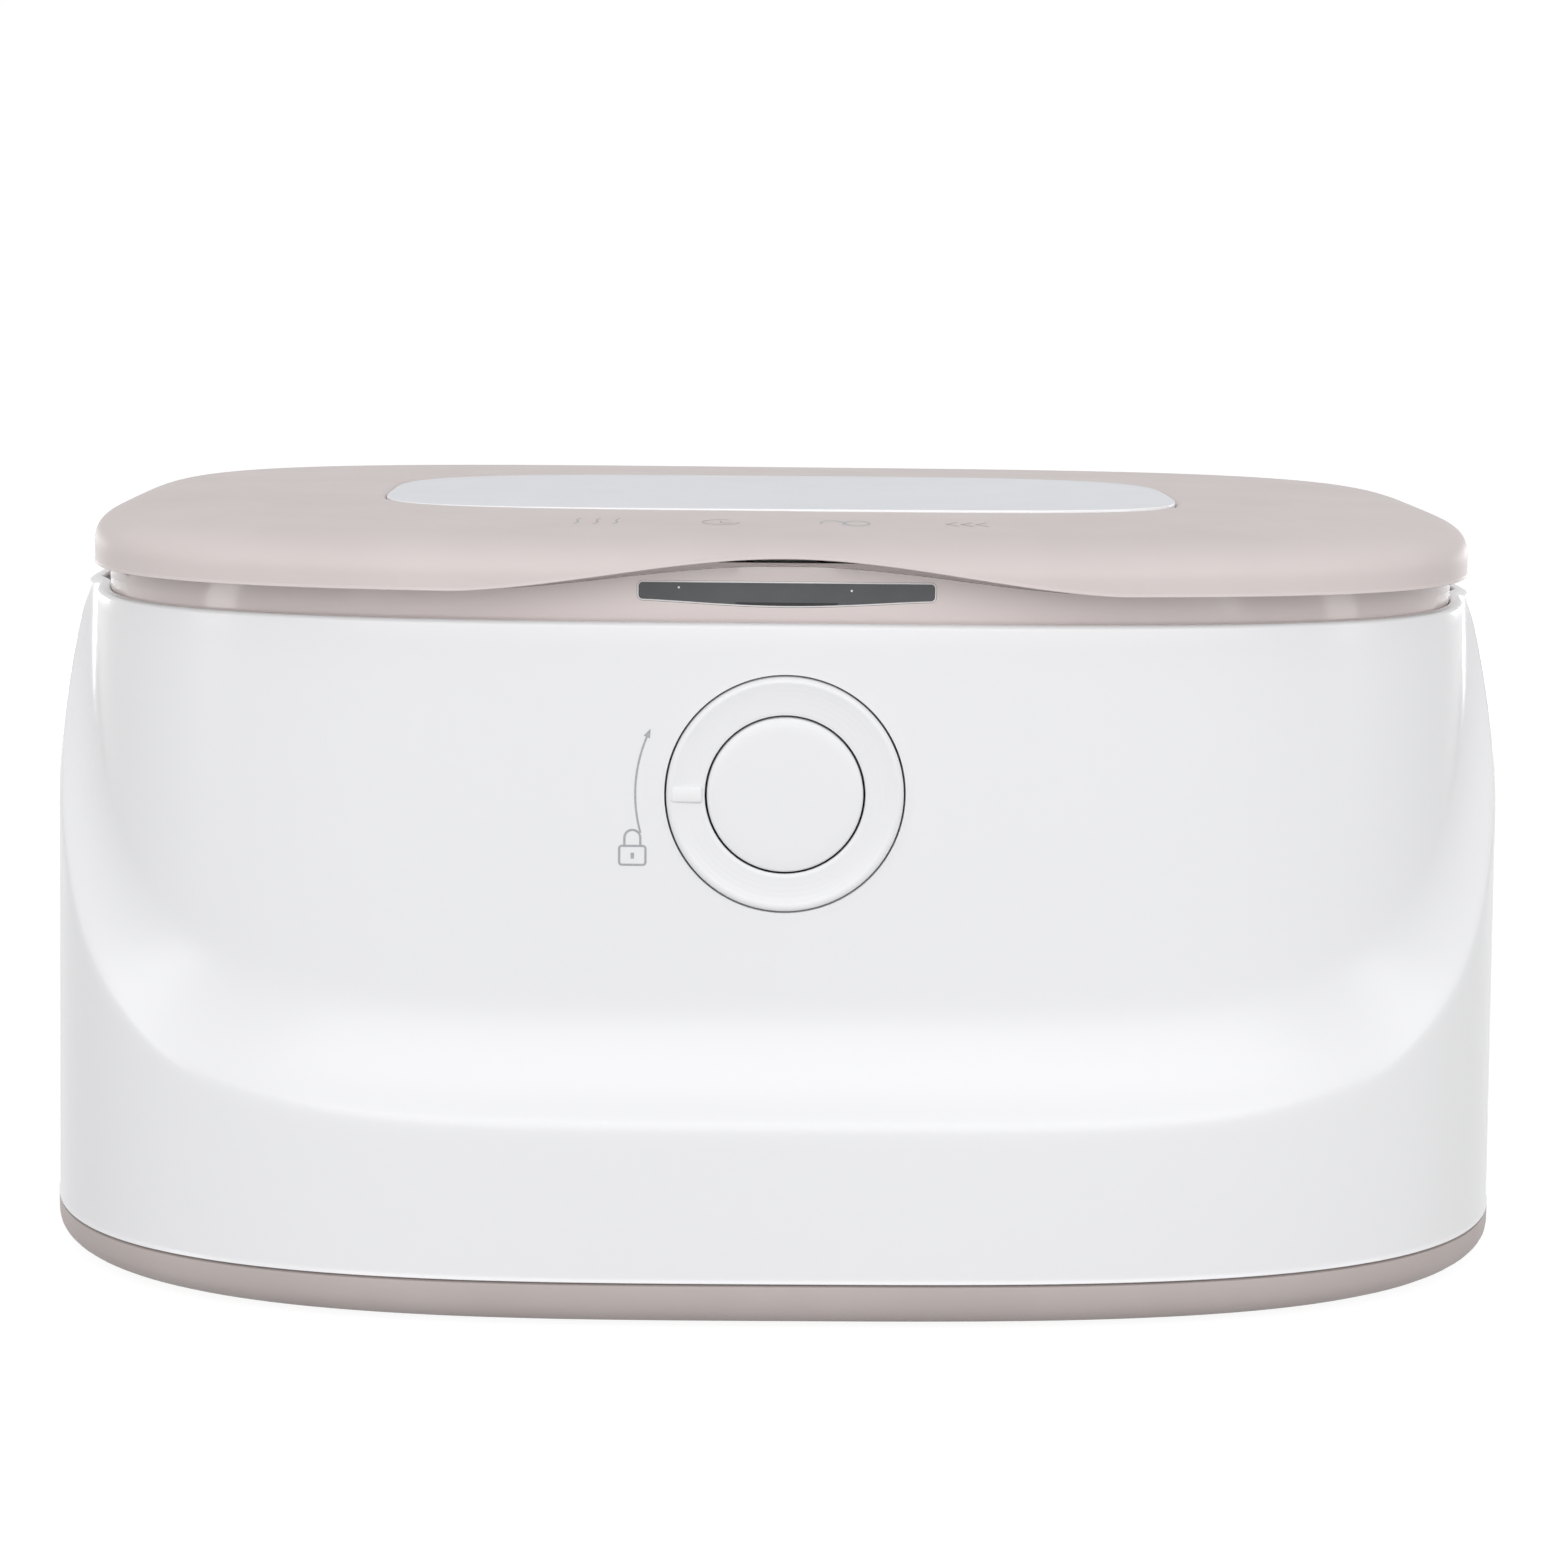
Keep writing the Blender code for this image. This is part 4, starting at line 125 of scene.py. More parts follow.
bpy.ops.object.select_all(action="DESELECT")
bpy.ops.mesh.primitive_plane_add(size=6.0)
table = bpy.context.active_object
table.name = "studio_table"
table_white = bpy.data.materials.new("white_table")
table_white.use_nodes = True
table_white.node_tree.nodes.clear()
in_light = add_node(table_white.node_tree, "ShaderNodeBsdfDiffuse", {"Color": colour_of("#B8B8B8")})
shaded = add_node(table_white.node_tree, "ShaderNodeBsdfDiffuse", {"Color": colour_of("#808080")})
glow = add_node(table_white.node_tree, "ShaderNodeEmission", {
    "Color": colour_of("#FFFFFF"), "Strength": 0.90})
seen_table = add_node(table_white.node_tree, "ShaderNodeAddShader", {
    0: shaded.outputs[0], 1: glow.outputs[0]})
table_mix = add_node(table_white.node_tree, "ShaderNodeMixShader", {
    0: seen_straight(table_white.node_tree), 1: in_light.outputs[0], 2: seen_table.outputs[0]})
add_node(table_white.node_tree, "ShaderNodeOutputMaterial", {"Surface": table_mix.outputs[0]})
table.data.materials.append(table_white)


def soft_box(name, place, aim, size, power, colour="#FFFFFF"):
    """A rectangular lamp at a place, turned to face a point."""
    bpy.ops.object.light_add(type="AREA", location=place)
    lamp = bpy.context.active_object
    lamp.name = name
    lamp.data.shape = "RECTANGLE"
    lamp.data.size, lamp.data.size_y = size
    lamp.data.energy = power
    lamp.data.color = colour_of(colour)[:3]
    lamp.rotation_euler = (Vector(aim) - Vector(place)).to_track_quat("-Z", "Y").to_euler()


soft_box("overhead_box", (0.0, -0.15, 1.25), (0.0, 0.0, 0.1), (1.3, 1.0), 0.95, "#EEF4FF")
soft_box("front_box", (0.08, -1.5, 0.62), (0.0, 0.0, 0.08), (2.2, 1.2), 14.5)
soft_box("left_strip", (-1.1, -0.55, 0.35), (0.0, 0.0, 0.08), (0.25, 0.9), 1.7)
soft_box("right_strip", (1.1, -0.55, 0.35), (0.0, 0.0, 0.08), (0.25, 0.9), 1.2)
soft_box("rear_left_box", (-0.95, 1.25, 0.08), (0.0, 0.0, 0.07), (0.5, 0.12), 1.9)
soft_box("rear_right_box", (0.95, 1.25, 0.08), (0.0, 0.0, 0.07), (0.5, 0.12), 1.9)


# Rubber feet: four soft dark discs pushed into round recesses of the base, turned here from
# one outline with a rounded tread edge and a shallow hollow, then copied to their places.
FOOT_X, FOOT_Y = 0.062, 0.050
FOOT_OUTLINE = ((0.0, 0.00025), (0.0030, 0.00022), (0.0042, 0.00008), (0.0050, 0.0), (0.0057, 0.00004),
                (0.0061, 0.00022), (0.0063, 0.00055), (0.0063, 0.0013), (0.0, 0.0013))
WELD = 0.000002


def pick_only(piece):
    """Makes a piece the only selected and active one."""
    bpy.ops.object.select_all(action="DESELECT")
    piece.select_set(True)
    bpy.context.view_layer.objects.active = piece


def pick_nothing():
    """Leaves nothing selected, ready for a new primitive."""
    pick_only(table)
    bpy.ops.object.select_all(action="DESELECT")


def turned(name, outline, centre, axis="Y", steps=96):
    """Spins an outline of (radius, distance along the axis) into a closed round piece."""
    pick_nothing()
    bpy.ops.mesh.primitive_plane_add(size=0.001)
    piece = bpy.context.active_object
    piece.name = piece.data.name = name
    out, along = {"X": (Vector((0, 1, 0)), Vector((1, 0, 0))),
                  "Y": (Vector((1, 0, 0)), Vector((0, 1, 0))),
                  "Z": (Vector((1, 0, 0)), Vector((0, 0, 1)))}[axis]
    places = [Vector(centre) + out * radius + along * distance for radius, distance in outline]
    if outline[0][0] > 0.0:
        places.append(places[0])
    bpy.ops.object.mode_set(mode="EDIT")
    bpy.ops.mesh.select_mode(type="VERT")
    bpy.ops.mesh.select_all(action="SELECT")
    bpy.ops.mesh.merge(type="CENTER")
    bpy.ops.transform.translate(value=places[0])
    for here, after in zip(places, places[1:]):
        bpy.ops.mesh.extrude_region_move(TRANSFORM_OT_translate={"value": after - here})
    bpy.ops.mesh.select_all(action="SELECT")
    bpy.ops.mesh.spin(steps=steps, angle=math.tau, center=centre, axis=along)
    bpy.ops.mesh.select_all(action="SELECT")
    bpy.ops.mesh.remove_doubles(threshold=WELD)
    bpy.ops.mesh.normals_make_consistent(inside=False)
    bpy.ops.object.mode_set(mode="OBJECT")
    return piece


def smooth(piece, angle=40.0):
    """Soft shading that keeps edges sharper than an angle."""
    pick_only(piece)
    bpy.ops.object.shade_smooth_by_angle(angle=math.radians(angle))


def finish_of(name, colour, roughness, **sockets):
    """A new finish on the Principled shader; words in a socket's name are joined by _."""
    made = bpy.data.materials.new(name)
    made.use_nodes = True
    shader = made.node_tree.nodes["Principled BSDF"]
    shader.inputs["Base Color"].default_value = colour_of(colour)
    shader.inputs["Roughness"].default_value = roughness
    for socket, value in sockets.items():
        shader.inputs[socket.replace("_", " ")].default_value = value
    return made


def join_up(made, socket, output):
    """Feeds an output into the finish's shader."""
    made.node_tree.links.new(output, made.node_tree.nodes["Principled BSDF"].inputs[socket])


def noise_of(made, millimetres, detail, distortion=0.0):
    """Even noise on the piece itself, with grains of about this many millimetres."""
    place = add_node(made.node_tree, "ShaderNodeTexCoord", {})
    noise = add_node(made.node_tree, "ShaderNodeTexNoise", {
        "Vector": place.outputs["Object"], "Scale": 1000.0 / millimetres, "Detail": detail,
        "Distortion": distortion})
    return noise.outputs["Fac"]


def spread(made, value, low, high):
    """Maps noise, which stays between about 0.2 and 0.8, to a range."""
    ranged = add_node(made.node_tree, "ShaderNodeMapRange", {
        "Value": value, "From Min": 0.2, "From Max": 0.8, "To Min": low, "To Max": high})
    return ranged.outputs["Result"]


def clouded(made, millimetres, detail, dark, light):
    """Drifts the colour between two shades, in clouds of this size."""
    drift = spread(made, noise_of(made, millimetres, detail), 0.0, 1.0)
    mixed = add_node(made.node_tree, "ShaderNodeMix", {
        "Factor": drift, "A": colour_of(dark), "B": colour_of(light)}, data_type="RGBA")
    join_up(made, "Base Color", mixed.outputs["Result"])


def worn(made, millimetres, detail, low, high, distortion=0.0):
    """Lets the roughness wander between two values, in patches of this size."""
    join_up(made, "Roughness", spread(made, noise_of(made, millimetres, detail, distortion), low, high))


def relief(made, value, height):
    """Raises and sinks the surface by a height in millimetres."""
    bump = add_node(made.node_tree, "ShaderNodeBump", {
        "Height": value, "Distance": height / 1000.0, "Strength": 1.0})
    join_up(made, "Normal", bump.outputs["Normal"])


def grained(made, millimetres, detail, height):
    """Raises and sinks the surface in grains of this size, by a height in millimetres."""
    relief(made, noise_of(made, millimetres, detail), height)


# Fine pits and a dusting of lint make the rubber read as soft and matt.
foot_rubber = finish_of("foot_rubber", "#4A4746", 0.82, Specular_IOR_Level=0.35)
clouded(foot_rubber, 1.8, 2.0, "#403D3C", "#575352")
grained(foot_rubber, 0.35, 3.0, 0.03)


def copied(piece, name, shift):
    """The same piece once more, with its own mesh, moved by a shift."""
    twin = piece.copy()
    twin.data = piece.data.copy()
    twin.name = twin.data.name = name
    bpy.context.scene.collection.objects.link(twin)
    twin.data.transform(Matrix.Translation(shift))
    return twin


first_foot = turned("rubber_foot_1", FOOT_OUTLINE, (-FOOT_X, -FOOT_Y, 0.0), "Z", 56)
smooth(first_foot, 50.0)
first_foot.data.materials.append(foot_rubber)
feet = [first_foot] + [copied(first_foot, f"rubber_foot_{number}", shift) for number, shift in (
    (2, (0.0, 2 * FOOT_Y, 0.0)), (3, (2 * FOOT_X, 0.0, 0.0)), (4, (2 * FOOT_X, 2 * FOOT_Y, 0.0)))]
for number, foot in enumerate(feet, start=1):
    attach(foot, "root")
    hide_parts(f"foot_{number}")


# Base cover: a moulded taupe tray with an eroded satin skin, rounded at its lower edge, that
# closes the housing from below. A lip stands inside the housing, and the bottom has recesses
# for the feet and for the four screws, which draw it up against the housing's posts.
BODY_HALF_WIDTH, BODY_HALF_DEPTH, BODY_ROUNDNESS = 0.1205, 0.0785, 3.2
POST_X, POST_Y = 0.08424, 0.05049
BASE_BOTTOM, BASE_FLOOR, BASE_TOP, BASE_LIP_TOP = 0.0010, 0.0032, 0.0072, 0.0102
BASE_ROUNDING, END_SPREAD, SIDE_SPREAD = 0.0036, 1.8, 0.75      # longer at the ends than in front
LIP_INSET, LIP_INNER, FLAT_INSET = 0.0030, 0.0046, 0.060
BASE_COLUMNS = 288


def round_plan(turn, half_width, half_depth, roundness, centre_y=0.0):
    """A point of a rounded plan, in the direction of a turn about its middle."""
    across = abs(math.cos(turn)) / half_width
    along = abs(math.sin(turn)) / half_depth
    reach = (across ** roundness + along ** roundness) ** (-1.0 / roundness)
    return reach * math.cos(turn), reach * math.sin(turn) + centre_y


def wrapped(name, columns, rows, place):
    """A skin of rows that run right round: a grid whose points are set by their turn and row."""
    pick_nothing()
    bpy.ops.mesh.primitive_grid_add(x_subdivisions=columns, y_subdivisions=rows - 1, size=1.0)
    skin = bpy.context.active_object
    skin.name = skin.data.name = name
    for vertex in skin.data.vertices:
        column = round((vertex.co.x + 0.5) * columns) % columns
        row = round((vertex.co.y + 0.5) * (rows - 1))
        vertex.co = place(math.tau * column / columns, row)
    bpy.ops.object.mode_set(mode="EDIT")
    bpy.ops.mesh.select_all(action="SELECT")
    bpy.ops.mesh.remove_doubles(threshold=WELD)
    bpy.ops.mesh.normals_make_consistent(inside=False)
    bpy.ops.object.mode_set(mode="OBJECT")
    return skin


def stacked(name, columns, levels):
    """A closed skin through levels of (half width, half depth, roundness, middle, height)."""
    def place(turn, row):
        half_width, half_depth, roundness, centre_y, height = levels[row]
        if half_width == 0.0:
            return 0.0, centre_y, height
        return *round_plan(turn, half_width, half_depth, roundness, centre_y), height
    return wrapped(name, columns, len(levels), place)


def carve(piece, tool, operation="DIFFERENCE"):
    """Cuts, joins or meets a piece with a tool, which is then thrown away."""
    pick_only(piece)
    step = piece.modifiers.new("carve", "BOOLEAN")
    step.operation = operation
    step.solver = "EXACT"
    step.object = tool
    bpy.ops.object.modifier_apply(modifier=step.name)
    bpy.data.objects.remove(tool, do_unlink=True)


def corner(radius, steps, start, end, middle):
    """Points of a round edge in a section, between two angles in degrees."""
    turns = [math.radians(start + (end - start) * step / steps) for step in range(steps + 1)]
    return [(middle[0] + radius * math.cos(one), middle[1] + radius * math.sin(one)) for one in turns]


def pole(middle, height):
    """The level that closes a stacked piece, in the middle of its bottom or top."""
    return 0.0, 0.0, 2.0, middle, height


def body_level(inset, height):
    return BODY_HALF_WIDTH - inset, BODY_HALF_DEPTH - inset, BODY_ROUNDNESS, 0.0, height


lower_edge = [(BASE_ROUNDING - across, up) for across, up in
              corner(BASE_ROUNDING, 8, -90, 0, (0.0, BASE_BOTTOM + BASE_ROUNDING))]
base_levels = [pole(0.0, BASE_BOTTOM), body_level(FLAT_INSET, BASE_BOTTOM)]
base_levels += [(BODY_HALF_WIDTH - END_SPREAD * inset, BODY_HALF_DEPTH - SIDE_SPREAD * inset,
                 BODY_ROUNDNESS, 0.0, height) for inset, height in lower_edge]
base_levels += [body_level(0.0, BASE_TOP - 0.0003), body_level(0.0001, BASE_TOP - 0.0001),
                body_level(0.0003, BASE_TOP), body_level(LIP_INSET, BASE_TOP),
                body_level(LIP_INSET, BASE_LIP_TOP), body_level(LIP_INNER, BASE_LIP_TOP),
                body_level(LIP_INNER, BASE_FLOOR + 0.0006), body_level(LIP_INNER + 0.0006, BASE_FLOOR),
                body_level(FLAT_INSET, BASE_FLOOR), pole(0.0, BASE_FLOOR)]
base = stacked("base_tray", BASE_COLUMNS, base_levels)
corners = [(side, end) for side in (-1, 1) for end in (-1, 1)]
for side, end in corners:
    carve(base, turned("boss", ((0.0, BASE_FLOOR - 0.0006), (0.0048, BASE_FLOOR - 0.0006),
                                (0.0048, BASE_LIP_TOP - 0.0003), (0.0, BASE_LIP_TOP - 0.0003)),
                       (POST_X * side, POST_Y * end, 0.0), "Z", 40), "UNION")
for side, end in corners:
    carve(base, turned("screw_recess", ((0.0, 0.0), (0.0033, 0.0), (0.0033, BASE_BOTTOM), (0.0030, 0.0013),
                                        (0.0030, 0.0044), (0.0017, 0.0044), (0.0017, 0.012), (0.0, 0.012)),
                       (POST_X * side, POST_Y * end, 0.0), "Z", 40))
    carve(base, turned("foot_recess", ((0.0, 0.0), (0.0069, 0.0), (0.0069, BASE_BOTTOM), (0.0066, 0.0013),
                                       (0.0066, 0.0016), (0.0, 0.0016)),
                       (FOOT_X * side, FOOT_Y * end, 0.0), "Z", 56))
smooth(base, 30.0)

# Spark-eroded taupe plastic: a fine even grain that breaks the highlights up, a faint cloudiness
# of the pigment, and slightly shinier patches where hands and the table have rubbed it.
taupe_satin = finish_of("taupe_satin_abs", "#CDC4C2", 0.5, Specular_IOR_Level=0.42)
clouded(taupe_satin, 22.0, 3.0, "#D0C6C4", "#D7CDCB")
worn(taupe_satin, 14.0, 4.0, 0.46, 0.56)
grained(taupe_satin, 0.28, 2.0, 0.010)

# The base takes a darker copy of the same taupe finish.
base_taupe = taupe_satin.copy()
base_taupe.name = "taupe_satin_abs_base"
clouded(base_taupe, 22.0, 3.0, "#B2A8A5", "#B9AFAC")
base.data.materials.append(base_taupe)
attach(base, "root")
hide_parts("base_cover")


# Base screws: zinc-plated pan-head screws with a cross recess, sunk in the base's recesses and
# driven up into the posts. One is turned, its cross is pressed in with two tapered cutters,
# and it is copied to the other three corners.
SCREW_HEAD_TOP = 0.0044


def cross_screw(name, place, head_radius, head_height, shank_radius, length, pointing):
    """A pan-head screw; pointing is 1 where the shank runs up from the head, -1 down."""
    def along(distance):
        return place[2] + distance * pointing
    outline = [(0.0, along(-head_height)), (head_radius * 0.55, along(-head_height * 0.97)),
               (head_radius * 0.85, along(-head_height * 0.82)),
               (head_radius * 0.97, along(-head_height * 0.55)),
               (head_radius, along(-head_height * 0.2)), (head_radius, along(0.0)),
               (shank_radius, along(0.0))]
    pitch = shank_radius * 0.55
    threads = int((length - shank_radius) / pitch)
    for thread in range(threads):
        start = thread * pitch
        outline += [(shank_radius * 0.8, along(start + pitch * 0.25)),
                    (shank_radius, along(start + pitch * 0.6)),
                    (shank_radius * 0.8, along(start + pitch * 0.95))]
    outline += [(0.0, along(length))]
    screw = turned(name, outline, (place[0], place[1], 0.0), "Z", 32)
    for across in ((head_radius * 0.62, head_radius * 0.13), (head_radius * 0.13, head_radius * 0.62)):
        pick_nothing()
        bpy.ops.mesh.primitive_cube_add(size=2.0, location=(place[0], place[1], along(-head_height)))
        slot = bpy.context.active_object
        bpy.ops.transform.resize(value=(across[0], across[1], head_height * 0.62))
        bpy.ops.object.transform_apply(location=True, rotation=True, scale=True)
        for vertex in slot.data.vertices:
            if (vertex.co.z - along(-head_height)) * pointing > 0.0:
                vertex.co.x = place[0] + (vertex.co.x - place[0]) * 0.7
                vertex.co.y = place[1] + (vertex.co.y - place[1]) * 0.7
        carve(screw, slot)
    smooth(screw, 35.0)
    return screw


# Bright zinc with a slightly cloudy passivation and fine tool marks.
zinc_steel = finish_of("zinc_plated_steel", "#B9BABC", 0.32, Metallic=1.0)
clouded(zinc_steel, 1.4, 3.0, "#A9AAAE", "#C6C6C4")
worn(zinc_steel, 0.6, 3.0, 0.24, 0.42)

first_screw = cross_screw("tray_screw_1", (-POST_X, -POST_Y, SCREW_HEAD_TOP), 0.0026, 0.0017, 0.0014,
                          0.0160, 1)
first_screw.data.materials.append(zinc_steel)
tray_screws = [first_screw] + [copied(first_screw, f"tray_screw_{number}", shift) for number, shift in (
    (2, (0.0, 2 * POST_Y, 0.0)), (3, (2 * POST_X, 0.0, 0.0)), (4, (2 * POST_X, 2 * POST_Y, 0.0)))]
for number, screw in enumerate(tray_screws, start=1):
    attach(screw, "root")
    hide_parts(f"base_screw_{number}")


# Outer housing: one injection-moulded shell of polished white plastic. The full skirt runs
# round the sides and back and leans in towards the rim; the front is set back behind a crisp
# edge that sweeps up each side. It has the dial's hole in front and the inlet's at the back.
RIM_HEIGHT, HOUSING_LOW, HOUSING_WALL = 0.1077, 0.0075, 0.0022
DIAL_HEIGHT = 0.0819
JACK_X, JACK_HEIGHT = 0.040, 0.0165
HOUSING_COLUMNS = 384
EDGE_SOFTNESS, FRONT_BLEND = 0.0009, 0.018
FRONT_HALF_WIDTH, FRONT_HALF_DEPTH, FRONT_ROUNDNESS = 0.1119, 0.0715, 3.4
RIM_ROUND, SKIRT_BEND = 0.0008, 0.070
SKIRT_ROWS, FRONT_ROWS = 16, 40
LIP_RISES = (0.00006, 0.00015, 0.00028, 0.00042, 0.0006)


def skirt_inset(height):
    """How far the skirt stands in from its widest line."""
    lip = 0.00014 * min(max((height - HOUSING_LOW - 0.00025) / 0.0003, 0.0), 1.0)
    if height < SKIRT_BEND:
        return lip + 0.0014 * (height - HOUSING_LOW) / (SKIRT_BEND - HOUSING_LOW)
    return lip + 0.0014 + 0.0044 * ((height - SKIRT_BEND) / (RIM_HEIGHT - SKIRT_BEND)) ** 1.8


def scoop_edge(y):
    """Height of the crisp edge, by its place from front to back."""
    return 0.0322 + 0.106 * max((y + BODY_HALF_DEPTH) / BODY_HALF_DEPTH, 0.0) ** 1.6


def housing_skin(turn, height):
    """A point of the housing's outside."""
    inset = skirt_inset(height)
    skirt = round_plan(turn, BODY_HALF_WIDTH - inset, BODY_HALF_DEPTH - inset, BODY_ROUNDNESS)
    front = round_plan(turn, FRONT_HALF_WIDTH + 0.027 * (RIM_HEIGHT - height), FRONT_HALF_DEPTH,
                       FRONT_ROUNDNESS)
    over = height - scoop_edge(round_plan(turn, BODY_HALF_WIDTH, BODY_HALF_DEPTH, BODY_ROUNDNESS)[1])
    over = 0.5 * (over + math.hypot(over, EDGE_SOFTNESS)) - EDGE_SOFTNESS * 0.08
    share = 1.0 - (1.0 - min(max(over / FRONT_BLEND, 0.0), 1.0)) ** 2
    return skirt[0] + (front[0] - skirt[0]) * share, skirt[1] + (front[1] - skirt[1]) * share


def inside_of(skin, turn, height, depth):
    """The point a wall's thickness inside a skin, square to its plan."""
    before = skin(turn - 0.004, height)
    after = skin(turn + 0.004, height)
    run = math.hypot(after[0] - before[0], after[1] - before[1])
    x, y = skin(turn, height)
    return x - (after[1] - before[1]) / run * depth, y + (after[0] - before[0]) / run * depth


rim_round = [(RIM_ROUND - across, up) for across, up in
             corner(RIM_ROUND, 5, 0, 90, (0.0, RIM_HEIGHT - RIM_ROUND))]
rim_inner = [(HOUSING_WALL - 0.0006 + across, up) for across, up in
             corner(0.0006, 4, 90, 0, (0.0, RIM_HEIGHT - 0.0006))]
INNER_HEIGHTS = [RIM_HEIGHT - 0.004 - (RIM_HEIGHT - 0.004 - HOUSING_LOW) * step / 20 for step in range(21)]


def housing_point(turn, row):
    """Rows from the seam up the outside, over the rim and down the inside."""
    edge = scoop_edge(round_plan(turn, BODY_HALF_WIDTH, BODY_HALF_DEPTH, BODY_ROUNDNESS)[1])
    top = RIM_HEIGHT - RIM_ROUND
    line = min(edge, top - 0.0030)
    low = HOUSING_LOW + 0.0010
    if row == 0:
        return *inside_of(housing_skin, turn, HOUSING_LOW, 0.00025), HOUSING_LOW
    row -= 1
    if row < len(LIP_RISES):
        height = HOUSING_LOW + LIP_RISES[row]
        return *inside_of(housing_skin, turn, height, 0.0001 * (row == 0)), height
    row -= len(LIP_RISES)
    if row < SKIRT_ROWS:
        share = 1.0 - (1.0 - row / SKIRT_ROWS) ** 1.7
        height = low + (line - low) * share
        return *housing_skin(turn, height), height
    row -= SKIRT_ROWS
    if row < FRONT_ROWS:
        height = line + (top - line) * (row / FRONT_ROWS) ** 1.7
        return *housing_skin(turn, height), height
    row -= FRONT_ROWS
    for bend in (rim_round, rim_inner):
        if row < len(bend):
            inset, height = bend[row]
            return *inside_of(housing_skin, turn, height, inset), height
        row -= len(bend)
    if row < len(INNER_HEIGHTS):
        height = INNER_HEIGHTS[row]
        return *inside_of(housing_skin, turn, height, HOUSING_WALL), height
    return *inside_of(housing_skin, turn, HOUSING_LOW, 0.00025), HOUSING_LOW


HOUSING_ROWS = 2 + len(LIP_RISES) + SKIRT_ROWS + FRONT_ROWS
HOUSING_ROWS += len(rim_round) + len(rim_inner) + len(INNER_HEIGHTS)
housing = wrapped("housing_shell", HOUSING_COLUMNS, HOUSING_ROWS, housing_point)
carve(housing, turned("dial_hole", ((0.0, -0.0760), (0.0190, -0.0760), (0.01835, -0.0717),
                                    (0.01815, -0.0714), (0.01815, -0.0660), (0.0, -0.0660)),
                      (0.0, 0.0, DIAL_HEIGHT), "Y", 128))
carve(housing, turned("jack_hole", ((0.0, 0.0700), (0.0044, 0.0700), (0.0044, 0.0778), (0.0049, 0.0786),
                                    (0.0049, 0.0820), (0.0, 0.0820)), (JACK_X, 0.0, JACK_HEIGHT), "Y", 64))
smooth(housing, 30.0)

# Polished white plastic: nearly even in colour, with the long shallow waves that moulding
# leaves under a glossy skin and a few faintly duller patches from wiping.
white_gloss = finish_of("white_gloss_abs", "#EDEDEE", 0.24, Specular_IOR_Level=0.5)
clouded(white_gloss, 90.0, 0.0, "#EBEBED", "#EEEEEF")
worn(white_gloss, 45.0, 1.0, 0.22, 0.27)
grained(white_gloss, 18.0, 0.0, 0.008)
housing.data.materials.append(white_gloss)
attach(housing, "root")
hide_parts("outer_housing")


# Printed signs beside the dial: a padlock and an arc with an arrowhead, pad-printed in grey
# on the housing's front. They are thin ribbons that lie on the housing's own surface.
SIGN_PROUD = 0.00003


def ribbon(name, strokes, width, lie):
    """Thin printed lines: each stroke's points are laid on a surface by lie(first, second)."""
    mesh = bpy.data.meshes.new(name)
    shape = bmesh.new()
    for stroke in strokes:
        closed = stroke[0] == stroke[-1]
        points = [Vector(point) for point in (stroke[:-1] if closed else stroke)]
        count = len(points)
        pairs = []
        for index, point in enumerate(points):
            before = points[(index - 1) % count] if closed or index else point
            after = points[(index + 1) % count] if closed or index < count - 1 else point
            way = (after - before).normalized()
            aside = Vector((-way.y, way.x)) * width / 2
            pairs.append([shape.verts.new(lie(*(point + aside))), shape.verts.new(lie(*(point - aside)))])
        for index in range(count if closed else count - 1):
            here, after = pairs[index], pairs[(index + 1) % count]
            shape.faces.new((here[0], here[1], after[1], after[0]))
    shape.to_mesh(mesh)
    shape.free()
    printed = bpy.data.objects.new(name, mesh)
    bpy.context.scene.collection.objects.link(printed)
    return printed


def arc(middle, radius, start, end, steps=24):
    """Points of a circle's arc, between two angles in degrees."""
    return corner(radius, steps, start, end, middle)


def on_front(x, height):
    """On the housing's front wall, just proud of it."""
    turn = math.atan2(-FRONT_HALF_DEPTH, x)
    for _ in range(6):
        turn += (x - housing_skin(turn, height)[0]) / 0.09
    return x, housing_skin(turn, height)[1] - SIGN_PROUD, height


def patch(name, outline, lie):
    """A small filled print with a straight-sided outline."""
    mesh = bpy.data.meshes.new(name)
    mesh.from_pydata([lie(*point) for point in outline], [], [range(len(outline))])
    printed = bpy.data.objects.new(name, mesh)
    bpy.context.scene.collection.objects.link(printed)
    return printed


def joined(name, pieces):
    """Several prints made one piece."""
    pick_only(pieces[0])
    for piece in pieces:
        piece.select_set(True)
    bpy.ops.object.join()
    pieces[0].name = pieces[0].data.name = name
    return pieces[0]


def face_out(piece, way):
    """Turns the faces of an open print so that they all look one way."""
    for face in piece.data.polygons:
        if face.normal.dot(Vector(way)) < 0.0:
            face.flip()


# Pad-printing ink: matt mid grey, thin enough to let the gloss beneath break it up a little.
sign_ink = finish_of("grey_print", "#A6A7AB", 0.45)
clouded(sign_ink, 0.5, 3.0, "#9C9DA2", "#B1B2B6")

LOCK_X, LOCK_Z = -0.0229, 0.07245
half_wide, half_high, lock_round = 0.00198, 0.00145, 0.0004
lock_body = []
for middle_x, middle_z, start in ((half_wide - lock_round, half_high - lock_round, 0),
                                  (lock_round - half_wide, half_high - lock_round, 90),
                                  (lock_round - half_wide, lock_round - half_high, 180),
                                  (half_wide - lock_round, lock_round - half_high, 270)):
    lock_body += arc((LOCK_X + middle_x, LOCK_Z + middle_z), lock_round, start, start + 90, 4)
lock_body.append(lock_body[0])
shackle = [(LOCK_X - 0.0012, LOCK_Z + half_high), (LOCK_X - 0.0012, LOCK_Z + 0.0027)]
shackle += arc((LOCK_X, LOCK_Z + 0.0027), 0.0012, 180, 0, 12) + [(LOCK_X + 0.0012, LOCK_Z + half_high)]
